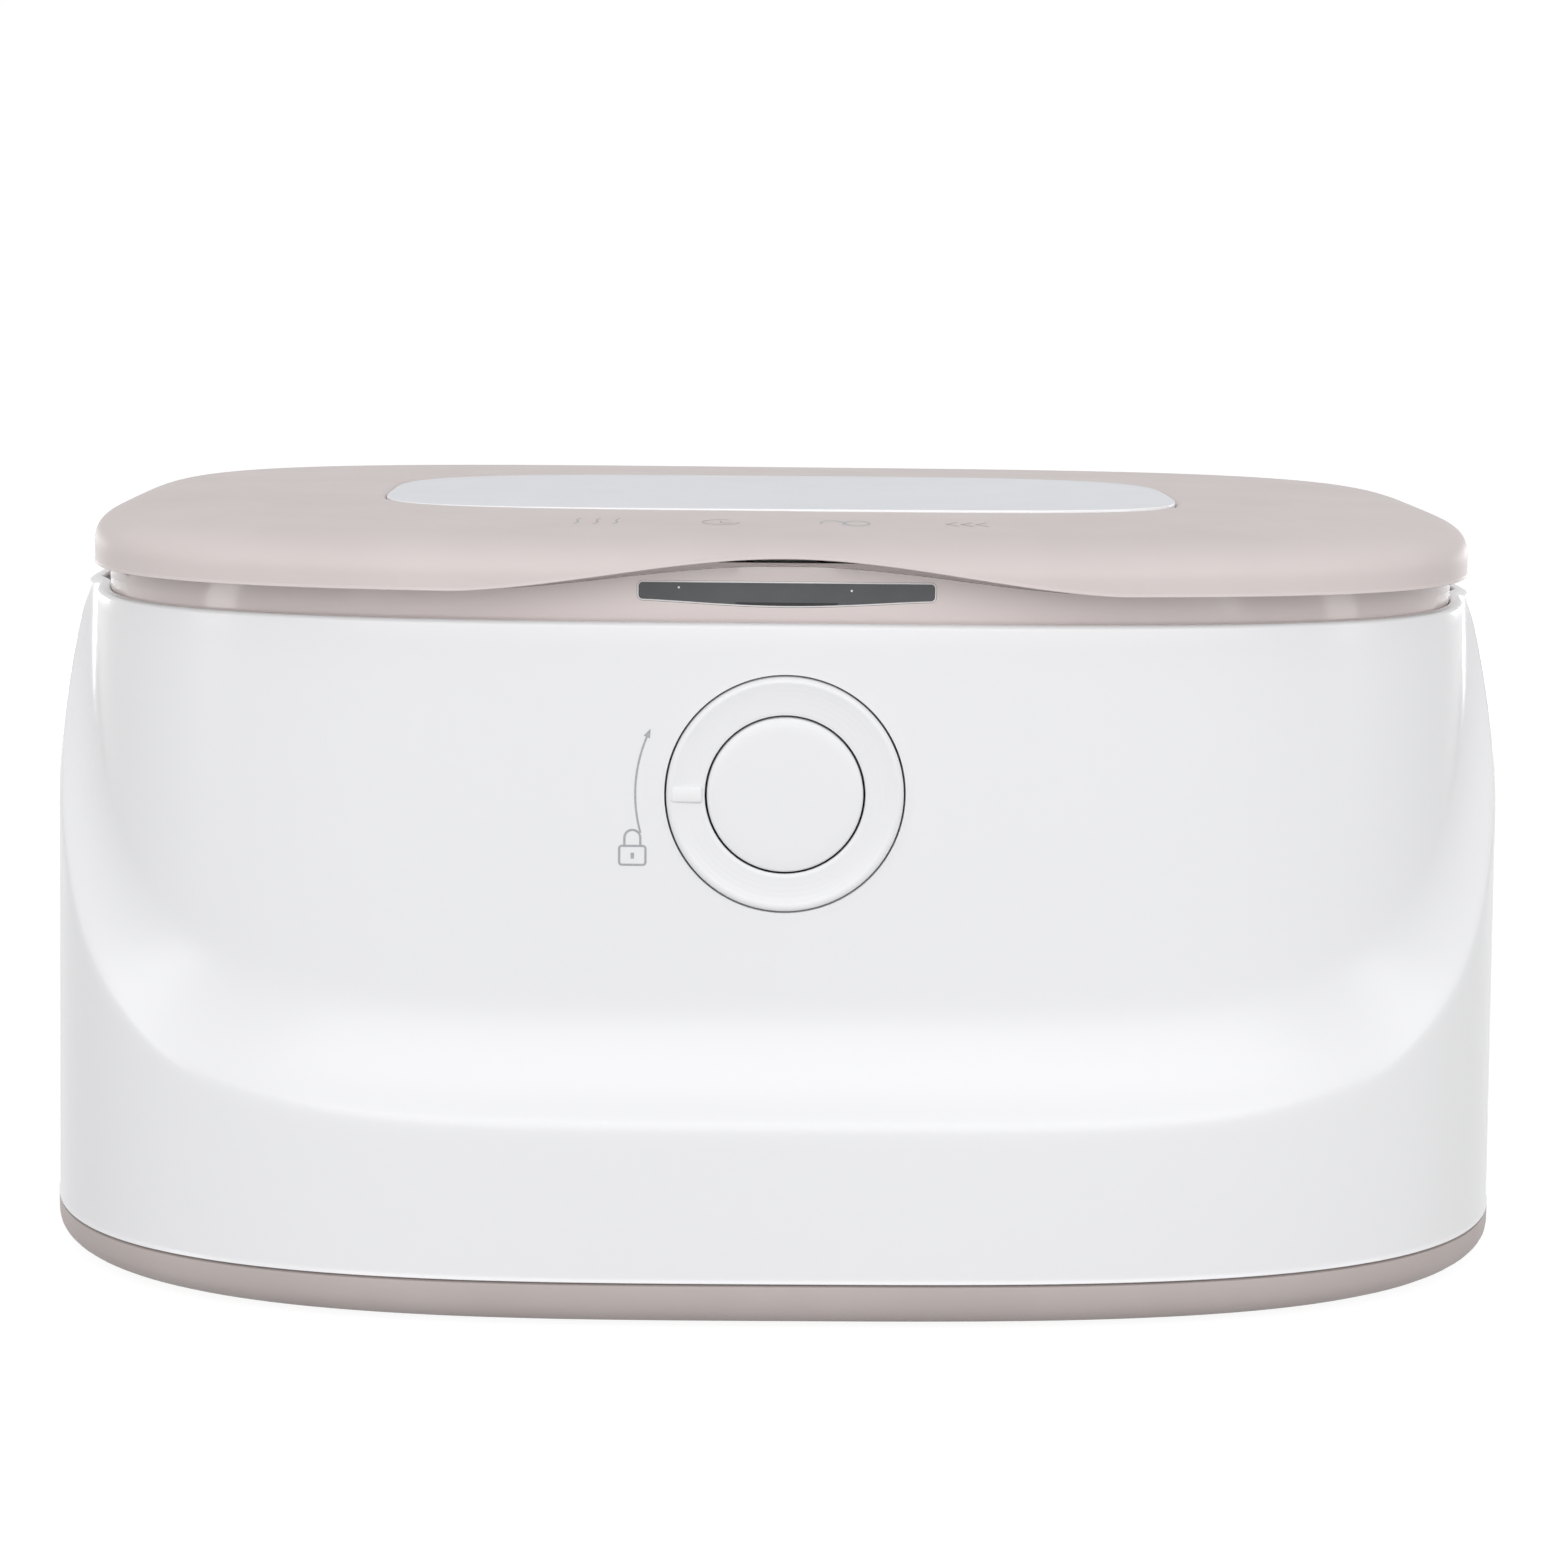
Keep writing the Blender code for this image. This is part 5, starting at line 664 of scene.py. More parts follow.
keyhole = [(LOCK_X, LOCK_Z + 0.0004), (LOCK_X, LOCK_Z - 0.0005)]
padlock = joined("padlock_sign", [ribbon("padlock_lines", (lock_body, shackle), 0.00034, on_front),
                                  ribbon("keyhole_line", (keyhole,), 0.0005, on_front)])
ARROW_RADIUS = 0.0225
arrow_line = arc((0.0, DIAL_HEIGHT), ARROW_RADIUS, 195.5, 157.5, 30)
head_turn = math.radians(156)
tip = Vector((ARROW_RADIUS * math.cos(head_turn), DIAL_HEIGHT + ARROW_RADIUS * math.sin(head_turn)))
way = Vector((math.sin(head_turn), -math.cos(head_turn)))
head = [tip + way * 0.0008, tip - way * 0.0006 + Vector((way.y, -way.x)) * 0.00052,
        tip - way * 0.0006 - Vector((way.y, -way.x)) * 0.00052]
arrow = joined("turn_arrow_sign", [ribbon("arrow_line", (arrow_line,), 0.0003, on_front),
                                   patch("arrow_head", [tuple(point) for point in head], on_front)])
for sign in (padlock, arrow):
    face_out(sign, (0.0, -1.0, 0.0))
    sign.data.materials.append(sign_ink)
    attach(sign, "root")


# Rim collar: the glossy taupe frame between rim and lid. Its wall stands inside the housing's
# rim, its ledge carries the tub, and its front has the window's opening. One moulding, screwed
# down at four lugs, with two ears at the back that hold the lid's hinge pins.
COLLAR_HALF_WIDTH, COLLAR_HALF_DEPTH, COLLAR_ROUNDNESS, COLLAR_WALL = 0.1082, 0.0678, 3.4, 0.0022
COLLAR_LOW, COLLAR_TOP, LEDGE_TOP, LEDGE_LOW = 0.0980, 0.1163, 0.1135, 0.1113
TUB_HALF_WIDTH, TUB_HALF_DEPTH, TUB_MIDDLE = 0.0950, 0.0500, 0.0030
HINGE_Y, HINGE_Z = 0.0709, 0.1134
EAR_X = (0.0203, 0.0280)
COLLAR_EDGE, COLLAR_INNER_EDGE, COLLAR_END = 0.0006, 0.0004, 0.0018
ARCH_FOOT, ARCH_RISE, ARCH_HALF = 0.1123, 0.0053, 0.056


def collar_level(inset, height):
    return COLLAR_HALF_WIDTH - inset, COLLAR_HALF_DEPTH - inset, COLLAR_ROUNDNESS, 0.0, height


def tub_level(grow, height):
    return TUB_HALF_WIDTH + grow, TUB_HALF_DEPTH + grow, COLLAR_ROUNDNESS, TUB_MIDDLE, height


def collar_end(height):
    """The collar's wall below the lid, where its ends stand out a little more."""
    return COLLAR_HALF_WIDTH + COLLAR_END, COLLAR_HALF_DEPTH, COLLAR_ROUNDNESS, 0.0, height


collar_levels = [collar_end(COLLAR_LOW), collar_end(0.1040), collar_end(0.1095), collar_level(0.0, 0.1120)]
collar_levels += [collar_level(COLLAR_EDGE - across, up) for across, up in
                  corner(COLLAR_EDGE, 6, 0, 90, (0.0, COLLAR_TOP - COLLAR_EDGE))]
collar_levels += [collar_level(COLLAR_WALL - COLLAR_INNER_EDGE + across, up) for across, up in
                  corner(COLLAR_INNER_EDGE, 4, 90, 0, (0.0, COLLAR_TOP - COLLAR_INNER_EDGE))]
collar_levels += [collar_level(COLLAR_WALL, LEDGE_TOP), tub_level(0.0005, LEDGE_TOP),
                  tub_level(0.0005, LEDGE_LOW), collar_level(COLLAR_WALL, LEDGE_LOW),
                  collar_level(COLLAR_WALL, COLLAR_LOW), collar_end(COLLAR_LOW)]
collar = stacked("rim_collar", 320, collar_levels)


def block(name, low, high, edge=0.0, segments=3):
    """A cube stretched between two corners, with its edges bevelled."""
    pick_nothing()
    middle = [(first + second) / 2 for first, second in zip(low, high)]
    bpy.ops.mesh.primitive_cube_add(size=1.0, location=middle)
    piece = bpy.context.active_object
    piece.name = piece.data.name = name
    bpy.ops.transform.resize(value=[second - first for first, second in zip(low, high)])
    bpy.ops.object.transform_apply(location=True, rotation=True, scale=True)
    if edge:
        bpy.ops.object.mode_set(mode="EDIT")
        bpy.ops.mesh.select_all(action="SELECT")
        bpy.ops.mesh.bevel(offset=edge, segments=segments)
        bpy.ops.object.mode_set(mode="OBJECT")
    return piece


def plate(name, outline, front, back):
    """A flat outline of (x, height) given its thickness from front to back."""
    pick_nothing()
    bpy.ops.mesh.primitive_circle_add(vertices=len(outline), fill_type="NGON")
    piece = bpy.context.active_object
    piece.name = piece.data.name = name
    for vertex, (x, height) in zip(piece.data.vertices, outline):
        vertex.co = (x, front, height)
    bpy.ops.object.mode_set(mode="EDIT")
    bpy.ops.mesh.select_all(action="SELECT")
    bpy.ops.mesh.extrude_region_move(TRANSFORM_OT_translate={"value": (0.0, back - front, 0.0)})
    bpy.ops.mesh.select_all(action="SELECT")
    bpy.ops.mesh.normals_make_consistent(inside=False)
    bpy.ops.object.mode_set(mode="OBJECT")
    return piece


WINDOW_HALF, WINDOW_TOP, WINDOW_END, WINDOW_SAG = 0.0224, 0.1136, 0.0029, 0.0009
WINDOW_ROUND = 0.0008


def window_low(x):
    """The window's lower edge at a place."""
    run = WINDOW_HALF - WINDOW_ROUND
    return WINDOW_TOP - WINDOW_END - WINDOW_SAG * math.cos(math.pi / 2 * min(abs(x) / run, 1.0)) ** 1.3


def window_outline(grow):
    """The display window: level on top, bowed below, with small round corners."""
    run = WINDOW_HALF - WINDOW_ROUND
    radius = WINDOW_ROUND + grow
    high, low = WINDOW_TOP - WINDOW_ROUND, WINDOW_TOP - WINDOW_END + WINDOW_ROUND
    outline = arc((-run, high), radius, 90, 180, 8) + arc((-run, low), radius, 180, 270, 8)
    outline += [(run * (step / 16 - 1), window_low(run * (step / 16 - 1)) - grow) for step in range(1, 32)]
    return outline + arc((run, low), radius, -90, 0, 8) + arc((run, high), radius, 0, 90, 8)


carve(collar, plate("window_opening", window_outline(0.00008), -0.0700, -0.0640))
for side in (-1, 1):
    near, far = (value * side for value in EAR_X)
    low_x, high_x = min(near, far), max(near, far)
    carve(collar, block("ear_arm", (low_x + 0.0002, 0.0667, HINGE_Z - 0.0024),
                        (high_x - 0.0002, HINGE_Y, HINGE_Z + 0.0024)), "UNION")
    carve(collar, turned("ear", ((0.0, low_x), (0.0022, low_x), (0.0026, low_x + 0.0004),
                                 (0.0026, high_x - 0.0004), (0.0022, high_x), (0.0, high_x)),
                         (0.0, HINGE_Y, HINGE_Z), "X", 40), "UNION")
    carve(collar, turned("ear_bore", ((0.0, low_x - 0.001), (0.0015, low_x - 0.001),
                                      (0.0015, high_x + 0.001), (0.0, high_x + 0.001)),
                         (0.0, HINGE_Y, HINGE_Z), "X", 32))


def arch_line(x):
    """Height of the lid's arch above the collar's front, level beyond its ends."""
    return ARCH_FOOT + ARCH_RISE * (0.5 + 0.5 * math.cos(math.pi * min(abs(x) / ARCH_HALF, 1.0)))


# A shallow groove follows the arch, so that the gap under it shows as a dark line.
groove_x = [0.0430 * step / 32 for step in range(-32, 33)]
groove = [(x, arch_line(x) - 0.00084 - 0.00085 * math.cos(math.pi / 2 * x / 0.0436))
          for x in groove_x]
groove += [(x, arch_line(x) - 0.00050) for x in reversed(groove_x)]
carve(collar, plate("arch_groove", groove, -0.0700, -0.0664))
SLOT_LEFT, SLOT_RIGHT, SLOT_FRONT, SLOT_BACK = -0.0061, 0.0097, -0.0560, -0.0512
carve(collar, block("catch_slot", (SLOT_LEFT, SLOT_FRONT, 0.105), (SLOT_RIGHT, SLOT_BACK, 0.120)))
carve(collar, block("display_notch", (-0.028, -0.0656, LEDGE_LOW - 0.002),
                    (0.028, -0.0621, LEDGE_TOP + 0.002)))
smooth(collar, 30.0)

# High-gloss taupe: smooth enough to mirror the soft boxes as clear bars, with the slight
# orange-peel ripple and the hair-fine wiping marks of polished plastic.
taupe_gloss = finish_of("taupe_gloss_abs", "#D8CDCB", 0.12, Specular_IOR_Level=0.5, Coat_Weight=0.3,
                        Coat_Roughness=0.06)
clouded(taupe_gloss, 40.0, 2.0, "#DDD2D0", "#E3D8D6")
worn(taupe_gloss, 5.0, 5.0, 0.09, 0.17, 1.5)
grained(taupe_gloss, 4.0, 1.0, 0.004)
collar.data.materials.append(taupe_gloss)
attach(collar, "root")
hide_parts("inner_frame")


# Display window: a dark smoked insert, clipped from behind into the collar's opening. Its chamfer
# is painted near white, a painted highlight that shows as a narrow bright edge. A black crescent
# lies at its lower middle, and two pin-sized white dots sit on it.
WINDOW_FRONT = -0.0677
window = plate("display_window", window_outline(0.00003), WINDOW_FRONT, WINDOW_FRONT + 0.0019)
pick_only(window)
bpy.ops.object.mode_set(mode="EDIT")
bpy.ops.mesh.select_mode(type="FACE")
bpy.ops.mesh.select_all(action="DESELECT")
shape = bmesh.from_edit_mesh(window.data)
for face in shape.faces:
    face.select = face.normal.y < -0.9
shape.select_flush_mode()
bmesh.update_edit_mesh(window.data)
bpy.ops.mesh.inset(thickness=0.00020, depth=0.00008)
bpy.ops.object.mode_set(mode="OBJECT")
flange = block("window_flange", (-0.0236, -0.0653, 0.1087), (0.0236, -0.0647, 0.1135))
core = plate("window_core", window_outline(-0.0006), WINDOW_FRONT + 0.0010, -0.0650)
carve(window, core, "UNION")
carve(window, flange, "UNION")
smooth(window, 20.0)

# Smoked polycarbonate: near black in depth, with a clear hard surface.
smoked_lens = finish_of("smoked_lens", "#4C4D50", 0.12, Specular_IOR_Level=0.5)
clouded(smoked_lens, 6.0, 2.0, "#484A4C", "#525356")
worn(smoked_lens, 3.0, 4.0, 0.16, 0.22)
# The window's chamfer: painted near white, a painted highlight along the insert's rim.
window_chamfer_painted_highlight = finish_of("window_chamfer_painted_highlight", "#F6F5F5", 0.25)
clouded(window_chamfer_painted_highlight, 3.0, 2.0, "#F1F0F0", "#FAF9F9")
window.data.materials.append(smoked_lens)
window.data.materials.append(window_chamfer_painted_highlight)
# The chamfer's faces take the painted highlight.
for face in window.data.polygons:
    if -0.97 < face.normal.y < -0.2:
        face.material_index = 1
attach(window, "root")
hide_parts("display_lens")


def on_window(x, height):
    return x, WINDOW_FRONT - 0.00013, height


CRESCENT_TOP, CRESCENT_WIDTH = WINDOW_TOP - WINDOW_END - WINDOW_SAG + 0.00068, 0.0148
crescent_x = [CRESCENT_WIDTH * (step / 24 - 0.5) for step in range(25)]
crescent_edge = [(x, window_low(x) + 0.00022) for x in crescent_x]
crescent_edge = [point for point in crescent_edge if point[1] < CRESCENT_TOP]
crescent_patch = patch("window_mask", [(crescent_edge[0][0] - 0.0004, CRESCENT_TOP)] + crescent_edge
             + [(crescent_edge[-1][0] + 0.0004, CRESCENT_TOP)], on_window)
dots = [patch(f"window_dot_{number}", arc((x, height), 0.00016, 0, 330, 11), on_window)
        for number, x, height in ((1, -0.0162, 0.11265), (2, 0.0097, 0.11235))]
# Near black for the crescent and white for the two dots.
crescent_black = finish_of("crescent_black", "#17171A", 0.2)
clouded(crescent_black, 1.0, 2.0, "#141416", "#1D1D20")
dot_white = finish_of("dot_white", "#F4F4F4", 0.3)
clouded(dot_white, 0.3, 2.0, "#EDEDED", "#FAFAFA")
for printed, ink in ((crescent_patch, crescent_black), (dots[0], dot_white), (dots[1], dot_white)):
    face_out(printed, (0.0, -1.0, 0.0))
    printed.data.materials.append(ink)
    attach(printed, "root")


# Wipe tub: a thin satin-white moulding with rounded corners. Its deck rests on the collar's
# ledge and its mouth is rolled over; the catch drops through a slot in the deck.
TUB_FLOOR, TUB_CORNER, TUB_WALL, DECK_LOW, DECK_TOP = 0.0240, 0.0040, 0.0014, 0.1138, 0.1152
outer_corner = [(across, up) for across, up in corner(TUB_CORNER, 8, -90, 0, (0.0, TUB_FLOOR + TUB_CORNER))]
inner_corner = [(across, up) for across, up in
                corner(TUB_CORNER - TUB_WALL, 8, 0, -90, (0.0, TUB_FLOOR + TUB_CORNER))]
tub_levels = [pole(TUB_MIDDLE, TUB_FLOOR), tub_level(-0.045, TUB_FLOOR)]
tub_levels += [tub_level(across - TUB_CORNER, up) for across, up in outer_corner]
tub_levels += [tub_level(0.0, 0.070), tub_level(0.0, DECK_LOW), collar_level(0.0028, DECK_LOW),
               collar_level(0.0028, DECK_TOP - 0.0003), collar_level(0.0031, DECK_TOP)]
tub_levels += [tub_level(-TUB_WALL + 0.0016 - across, up) for across, up in
               corner(0.0016, 6, 90, 180, (0.0, DECK_TOP - 0.0016))]
tub_levels += [tub_level(-TUB_WALL, 0.090), tub_level(-TUB_WALL, 0.060)]
tub_levels += [tub_level(across - TUB_CORNER, up) for across, up in inner_corner]
tub_levels += [tub_level(-0.045, TUB_FLOOR + TUB_WALL), pole(TUB_MIDDLE, TUB_FLOOR + TUB_WALL)]
tub = stacked("tub_moulding", 256, tub_levels)
carve(tub, block("deck_slot", (SLOT_LEFT, SLOT_FRONT, 0.110), (SLOT_RIGHT, SLOT_BACK, 0.120)))
smooth(tub, 30.0)

# Satin polypropylene: soft sheen, faint flow clouds and a very fine grain.
white_satin = finish_of("white_satin_plastic", "#E6E6E6", 0.45, Specular_IOR_Level=0.45)
clouded(white_satin, 30.0, 3.0, "#E2E2E3", "#EAEAEA")
worn(white_satin, 12.0, 3.0, 0.40, 0.50)
grained(white_satin, 0.5, 2.0, 0.004)
tub.data.materials.append(white_satin)
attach(tub, "root")
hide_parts("wipe_tub")


# Dial ring: a white ring around the button with a shallow dish turned into its face, a narrow
# bevel, and a raised pointer at nine o'clock. Its sleeve turns in the carrier behind the wall.
DIAL_FRONT = -0.0722
DISH_INNER, DISH_OUTER, DISH_DEPTH = 0.01235, 0.0171, 0.0004
dial_outline = [(DISH_OUTER, DIAL_FRONT), (0.01745, DIAL_FRONT + 0.00006),
                (0.01772, DIAL_FRONT + 0.00028), (0.01785, DIAL_FRONT + 0.0006),
                (0.01785, DIAL_FRONT + 0.0035), (0.0140, DIAL_FRONT + 0.0035),
                (0.0140, -0.0621), (0.01205, -0.0621), (0.01205, DIAL_FRONT + 0.00075),
                (0.01212, DIAL_FRONT + 0.0005), (DISH_INNER, DIAL_FRONT + DISH_DEPTH)]
for step in range(1, 12):
    share = step / 12
    dip = DISH_DEPTH - DISH_DEPTH * share ** 3 - 0.00005 * math.sin(math.pi * share)
    dial_outline.append((DISH_INNER + (DISH_OUTER - DISH_INNER) * share, DIAL_FRONT + dip))
dial = turned("turn_ring", dial_outline, (0.0, 0.0, DIAL_HEIGHT), "Y", 160)
pointer = block("pointer", (-0.0172, DIAL_FRONT - 0.0002, DIAL_HEIGHT - 0.00125),
                (-0.0124, DIAL_FRONT + 0.0020, DIAL_HEIGHT + 0.00135), 0.00045, 5)
for vertex in pointer.data.vertices:
    vertex.co.y += 0.00015 * min(max((vertex.co.z - DIAL_HEIGHT + 0.0008) / 0.0020, 0.0), 1.0)
carve(dial, pointer, "UNION")
smooth(dial, 30.0)

# Turned white face: very fine concentric rings about the dial's axis, over the same gloss.
dial_white = finish_of("dial_white_gloss", "#F0F0F1", 0.26, Specular_IOR_Level=0.5)
clouded(dial_white, 20.0, 2.0, "#E9E9EB", "#EEEEEF")
tree = dial_white.node_tree
place = add_node(tree, "ShaderNodeTexCoord", {})
centred = add_node(tree, "ShaderNodeMapping", {
    "Vector": place.outputs["Object"], "Location": (0.0, 0.0, -DIAL_HEIGHT)})
rings = add_node(tree, "ShaderNodeTexWave", {
    "Vector": centred.outputs[0], "Scale": 380.0, "Distortion": 0.0},
    wave_type="RINGS", rings_direction="Y", wave_profile="SIN")
relief(dial_white, rings.outputs["Fac"], 0.006)
dial.data.materials.append(dial_white)
# Painted shade: the bore is coloured near black, so that the gap round the button reads as a dark line
# where there is only shade.
bore_painted_shade = finish_of("bore_painted_shade", "#141415", 0.5)
clouded(bore_painted_shade, 2.0, 2.0, "#101011", "#1A1A1B")
dial.data.materials.append(bore_painted_shade)
# The faces inside the bore take the painted shade.
for face in dial.data.polygons:
    out = math.hypot(face.center.x, face.center.z - DIAL_HEIGHT)
    if out < 0.01208 and face.center.y > DIAL_FRONT + 0.0007:
        face.material_index = 1
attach(dial, "dial")
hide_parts("dial_ring")


# Release button: a round white cap, slightly domed, with a softened rim and a skirt that
# slides in the dial's bore. A stem behind it pushes the latch lever.
button_outline = [(0.0, -0.0723), (0.0040, -0.0723), (0.0075, -0.07229), (0.0098, -0.07227),
                  (0.0110, -0.07223), (0.01145, -0.07214), (0.01168, -0.07192),
                  (0.01178, -0.0715), (0.01178, -0.0660), (0.0103, -0.0660),
                  (0.0103, -0.0702), (0.0, -0.0702)]
button = turned("release_button", button_outline, (0.0, 0.0, DIAL_HEIGHT), "Y", 128)
stem_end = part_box("push_button")[1][1]
carve(button, turned("button_stem", ((0.0, -0.0710), (0.0026, -0.0710), (0.0026, -0.0596),
                                     (0.0012, -0.0596), (0.0012, stem_end), (0.0, stem_end)),
                     (0.0, 0.0, DIAL_HEIGHT), "Y", 40), "UNION")
smooth(button, 30.0)
button.data.materials.append(white_gloss)
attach(button, "button")
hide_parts("push_button")


# Button spring: a coil of spring steel between the button's back and the bracket's web, which
# pushes the button out again. Here it moves with the button and keeps its shape.
SPRING_START, SPRING_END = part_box("button_spring")[0][1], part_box("button_spring")[1][1]
SPRING_RADIUS, SPRING_WIRE, SPRING_TURNS, SPRING_STEPS = 0.0042, 0.00035, 6, 168


def spring_point(turn, row):
    """Rings of the wire along its turns, closed by a point at either end."""
    share = min(max(row - 1, 0), SPRING_STEPS) / SPRING_STEPS
    wire = 0.0 if row in (0, SPRING_STEPS + 2) else SPRING_WIRE
    along = math.tau * SPRING_TURNS * share
    out = SPRING_RADIUS + wire * math.cos(turn)
    rise = SPRING_WIRE + (SPRING_END - SPRING_START - 2 * SPRING_WIRE) * share
    return (out * math.cos(along), SPRING_START + rise + wire * math.sin(turn),
            DIAL_HEIGHT + out * math.sin(along))


push_spring = wrapped("push_spring", 12, SPRING_STEPS + 3, spring_point)
smooth(push_spring, 50.0)

# Drawn spring wire: bright steel, slightly darkened by its heat treatment.
spring_steel = finish_of("spring_steel", "#8C8E92", 0.28, Metallic=1.0)
clouded(spring_steel, 0.8, 3.0, "#7E8084", "#9A9CA0")
push_spring.data.materials.append(spring_steel)
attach(push_spring, "button")
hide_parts("button_spring")
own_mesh(push_spring)


# Lid shell: a taupe moulding with a rounded shoulder all round and a slight crown. An arch in
# its front edge lets a finger under it, and its top has the opening for the light panel.
LID_HALF_WIDTH, LID_HALF_DEPTH, LID_ROUNDNESS, LID_WALL = 0.1111, 0.0760, 3.8, 0.0016
LID_LOW, LID_SHOULDER, LID_CROWN = 0.1125, 0.1204, 0.00144
LID_REACH, LID_FRONT_REACH = 0.0072, 0.0125
OPENING_ROLL = 0.0011
PANEL_HALF_WIDTH, PANEL_HALF_DEPTH, PANEL_ROUNDNESS, PANEL_MIDDLE = 0.0658, 0.0365, 3.7, 0.0008
LID_COLUMNS, LID_EDGE_ROWS, LID_TOP_ROWS = 384, 26, 22
LIP = ((0.0004, 0.0), (0.0001, 0.00003), (0.0, 0.00010), (0.0, 0.00024), (0.00012, 0.00044))
ROLL = ((0.0, 0.0), (0.00035, 0.00006), (0.00065, 0.00022), (0.00086, 0.00045), (0.00098, 0.00075),
        (0.00102, LID_WALL))


def eased(value, start, end):
    """0 before a start, 1 after an end, smooth between."""
    share = min(max((value - start) / (end - start), 0.0), 1.0)
    return share * share * (3.0 - 2.0 * share)


def crown(x, y):
    """Height of the lid's top: slightly domed, with a shallow touch field in front."""
    out = (abs(x) / LID_HALF_WIDTH) ** LID_ROUNDNESS + (abs(y) / LID_HALF_DEPTH) ** LID_ROUNDNESS
    field = eased(-abs(x), -0.0485, -0.0400) * eased(y, -0.0608, -0.0586) * eased(-y, 0.0370, 0.0440)
    return LID_SHOULDER + LID_CROWN * (1.0 - out ** (2.0 / LID_ROUNDNESS)) - 0.00012 * field


def lid_edge_low(turn):
    """Height of the lid's lower edge: an arch in front, level elsewhere."""
    x, y = round_plan(turn, LID_HALF_WIDTH, LID_HALF_DEPTH, LID_ROUNDNESS)
    if y > 0.0 or abs(x) > ARCH_HALF:
        return LID_LOW
    return max(LID_LOW, arch_line(x))


def lid_edge(turn, share, shift=0.0):
    """The lid's side and shoulder: from its lower edge at 0 to its top at 1."""
    low = lid_edge_low(turn) + 0.0006
    full = LID_SHOULDER - LID_LOW
    start = ((low - LID_LOW) / full - 0.3) / 0.7
    up = 1.0 - (1.0 - start) * (1.0 - share) ** 3
    side = front = 0.0
    if up > 0.0:
        side = LID_REACH * (1.0 - max(1.0 - up ** 3, 0.0) ** (1.0 / 3.0))
        front = LID_FRONT_REACH * (1.0 - max(1.0 - up ** 2.3, 0.0) ** (1.0 / 2.3))
    depth = front if math.sin(turn) < 0.0 else side
    x, y = round_plan(turn, LID_HALF_WIDTH - side - shift, LID_HALF_DEPTH - depth - shift, LID_ROUNDNESS)
    height = LID_LOW + (crown(x, y) - LID_LOW) * (0.3 + 0.7 * up)
    return x, y, height


def opening(turn, grow):
    """The panel's opening in the lid."""
    return round_plan(turn, PANEL_HALF_WIDTH + grow, PANEL_HALF_DEPTH + grow, PANEL_ROUNDNESS, PANEL_MIDDLE)


def lid_top(turn, share, drop=0.0):
    """The lid's top between its shoulder and the rolled edge of the opening."""
    depth = LID_FRONT_REACH if math.sin(turn) < 0.0 else LID_REACH
    x, y = round_plan(turn, LID_HALF_WIDTH - LID_REACH, LID_HALF_DEPTH - depth, LID_ROUNDNESS)
    u, v = opening(turn, OPENING_ROLL)
    x, y = x + (u - x) * share, y + (v - y) * share
    return x, y, crown(x, y) - drop


def lid_point(turn, row):
    """Rows from the lower edge up the outside, in to the opening and back down the inside."""
    if row == 0:
        x, y, _ = lid_edge(turn, 0.0, LID_WALL - 0.0003)
        return x, y, lid_edge_low(turn)
    row -= 1
    if row < len(LIP):
        x, y, _ = lid_edge(turn, 0.0, LIP[row][0])
        return x, y, lid_edge_low(turn) + LIP[row][1]
    row -= len(LIP)
    if row <= LID_EDGE_ROWS:
        return lid_edge(turn, row / LID_EDGE_ROWS, 0.00012 * (1.0 - row / LID_EDGE_ROWS))
    row -= LID_EDGE_ROWS + 1
    if row < LID_TOP_ROWS:
        return lid_top(turn, (row + 1) / LID_TOP_ROWS * 0.995)
    row -= LID_TOP_ROWS
    if row < len(ROLL):
        x, y = opening(turn, OPENING_ROLL - ROLL[row][0])
        return x, y, crown(*opening(turn, OPENING_ROLL)) - ROLL[row][1]
    row -= len(ROLL)
    if row == 0:
        return lid_top(turn, 0.0, LID_WALL)
    x, y, height = lid_edge(turn, (0.5, 0.25, 0.0)[row - 1], LID_WALL)
    return x, y, height - (0.0012, 0.0006, 0.0)[row - 1]


LID_ROWS = 1 + len(LIP) + LID_EDGE_ROWS + 1 + LID_TOP_ROWS + len(ROLL) + 4
lid = wrapped("lid_cover", LID_COLUMNS, LID_ROWS + 1, lambda turn, row: lid_point(turn, row % LID_ROWS))
smooth(lid, 40.0)
lid.data.materials.append(taupe_satin)
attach(lid, "lid")
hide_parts("lid_shell")


# Touch signs: four small signs printed in pale grey in the shallow field along the lid's front,
# over the touch film's keys: rising heat, a timer's hand, two lamp rings and three chevrons.
SIGN_Y, SIGN_REACH = -0.0520, 0.0036


def on_lid(x, y):
    return x, y, crown(x, y) + 0.00003


def wavy(x, lean=0.0009):
    """A short stroke across the field that leans and waves a little."""
    return [(x + lean * step / 8 + 0.0003 * math.sin(math.pi * step / 4),
             SIGN_Y - SIGN_REACH + SIGN_REACH * step / 4) for step in range(9)]


def ring_at(x, wide, start=0, end=360):
    """A round stroke, drawn deeper than wide because it is seen at a low angle."""
    turns = [math.radians(start + (end - start) * step / 28) for step in range(29)]
    return [(x + wide * math.cos(turn), SIGN_Y + SIGN_REACH * 0.9 * math.sin(turn)) for turn in turns]


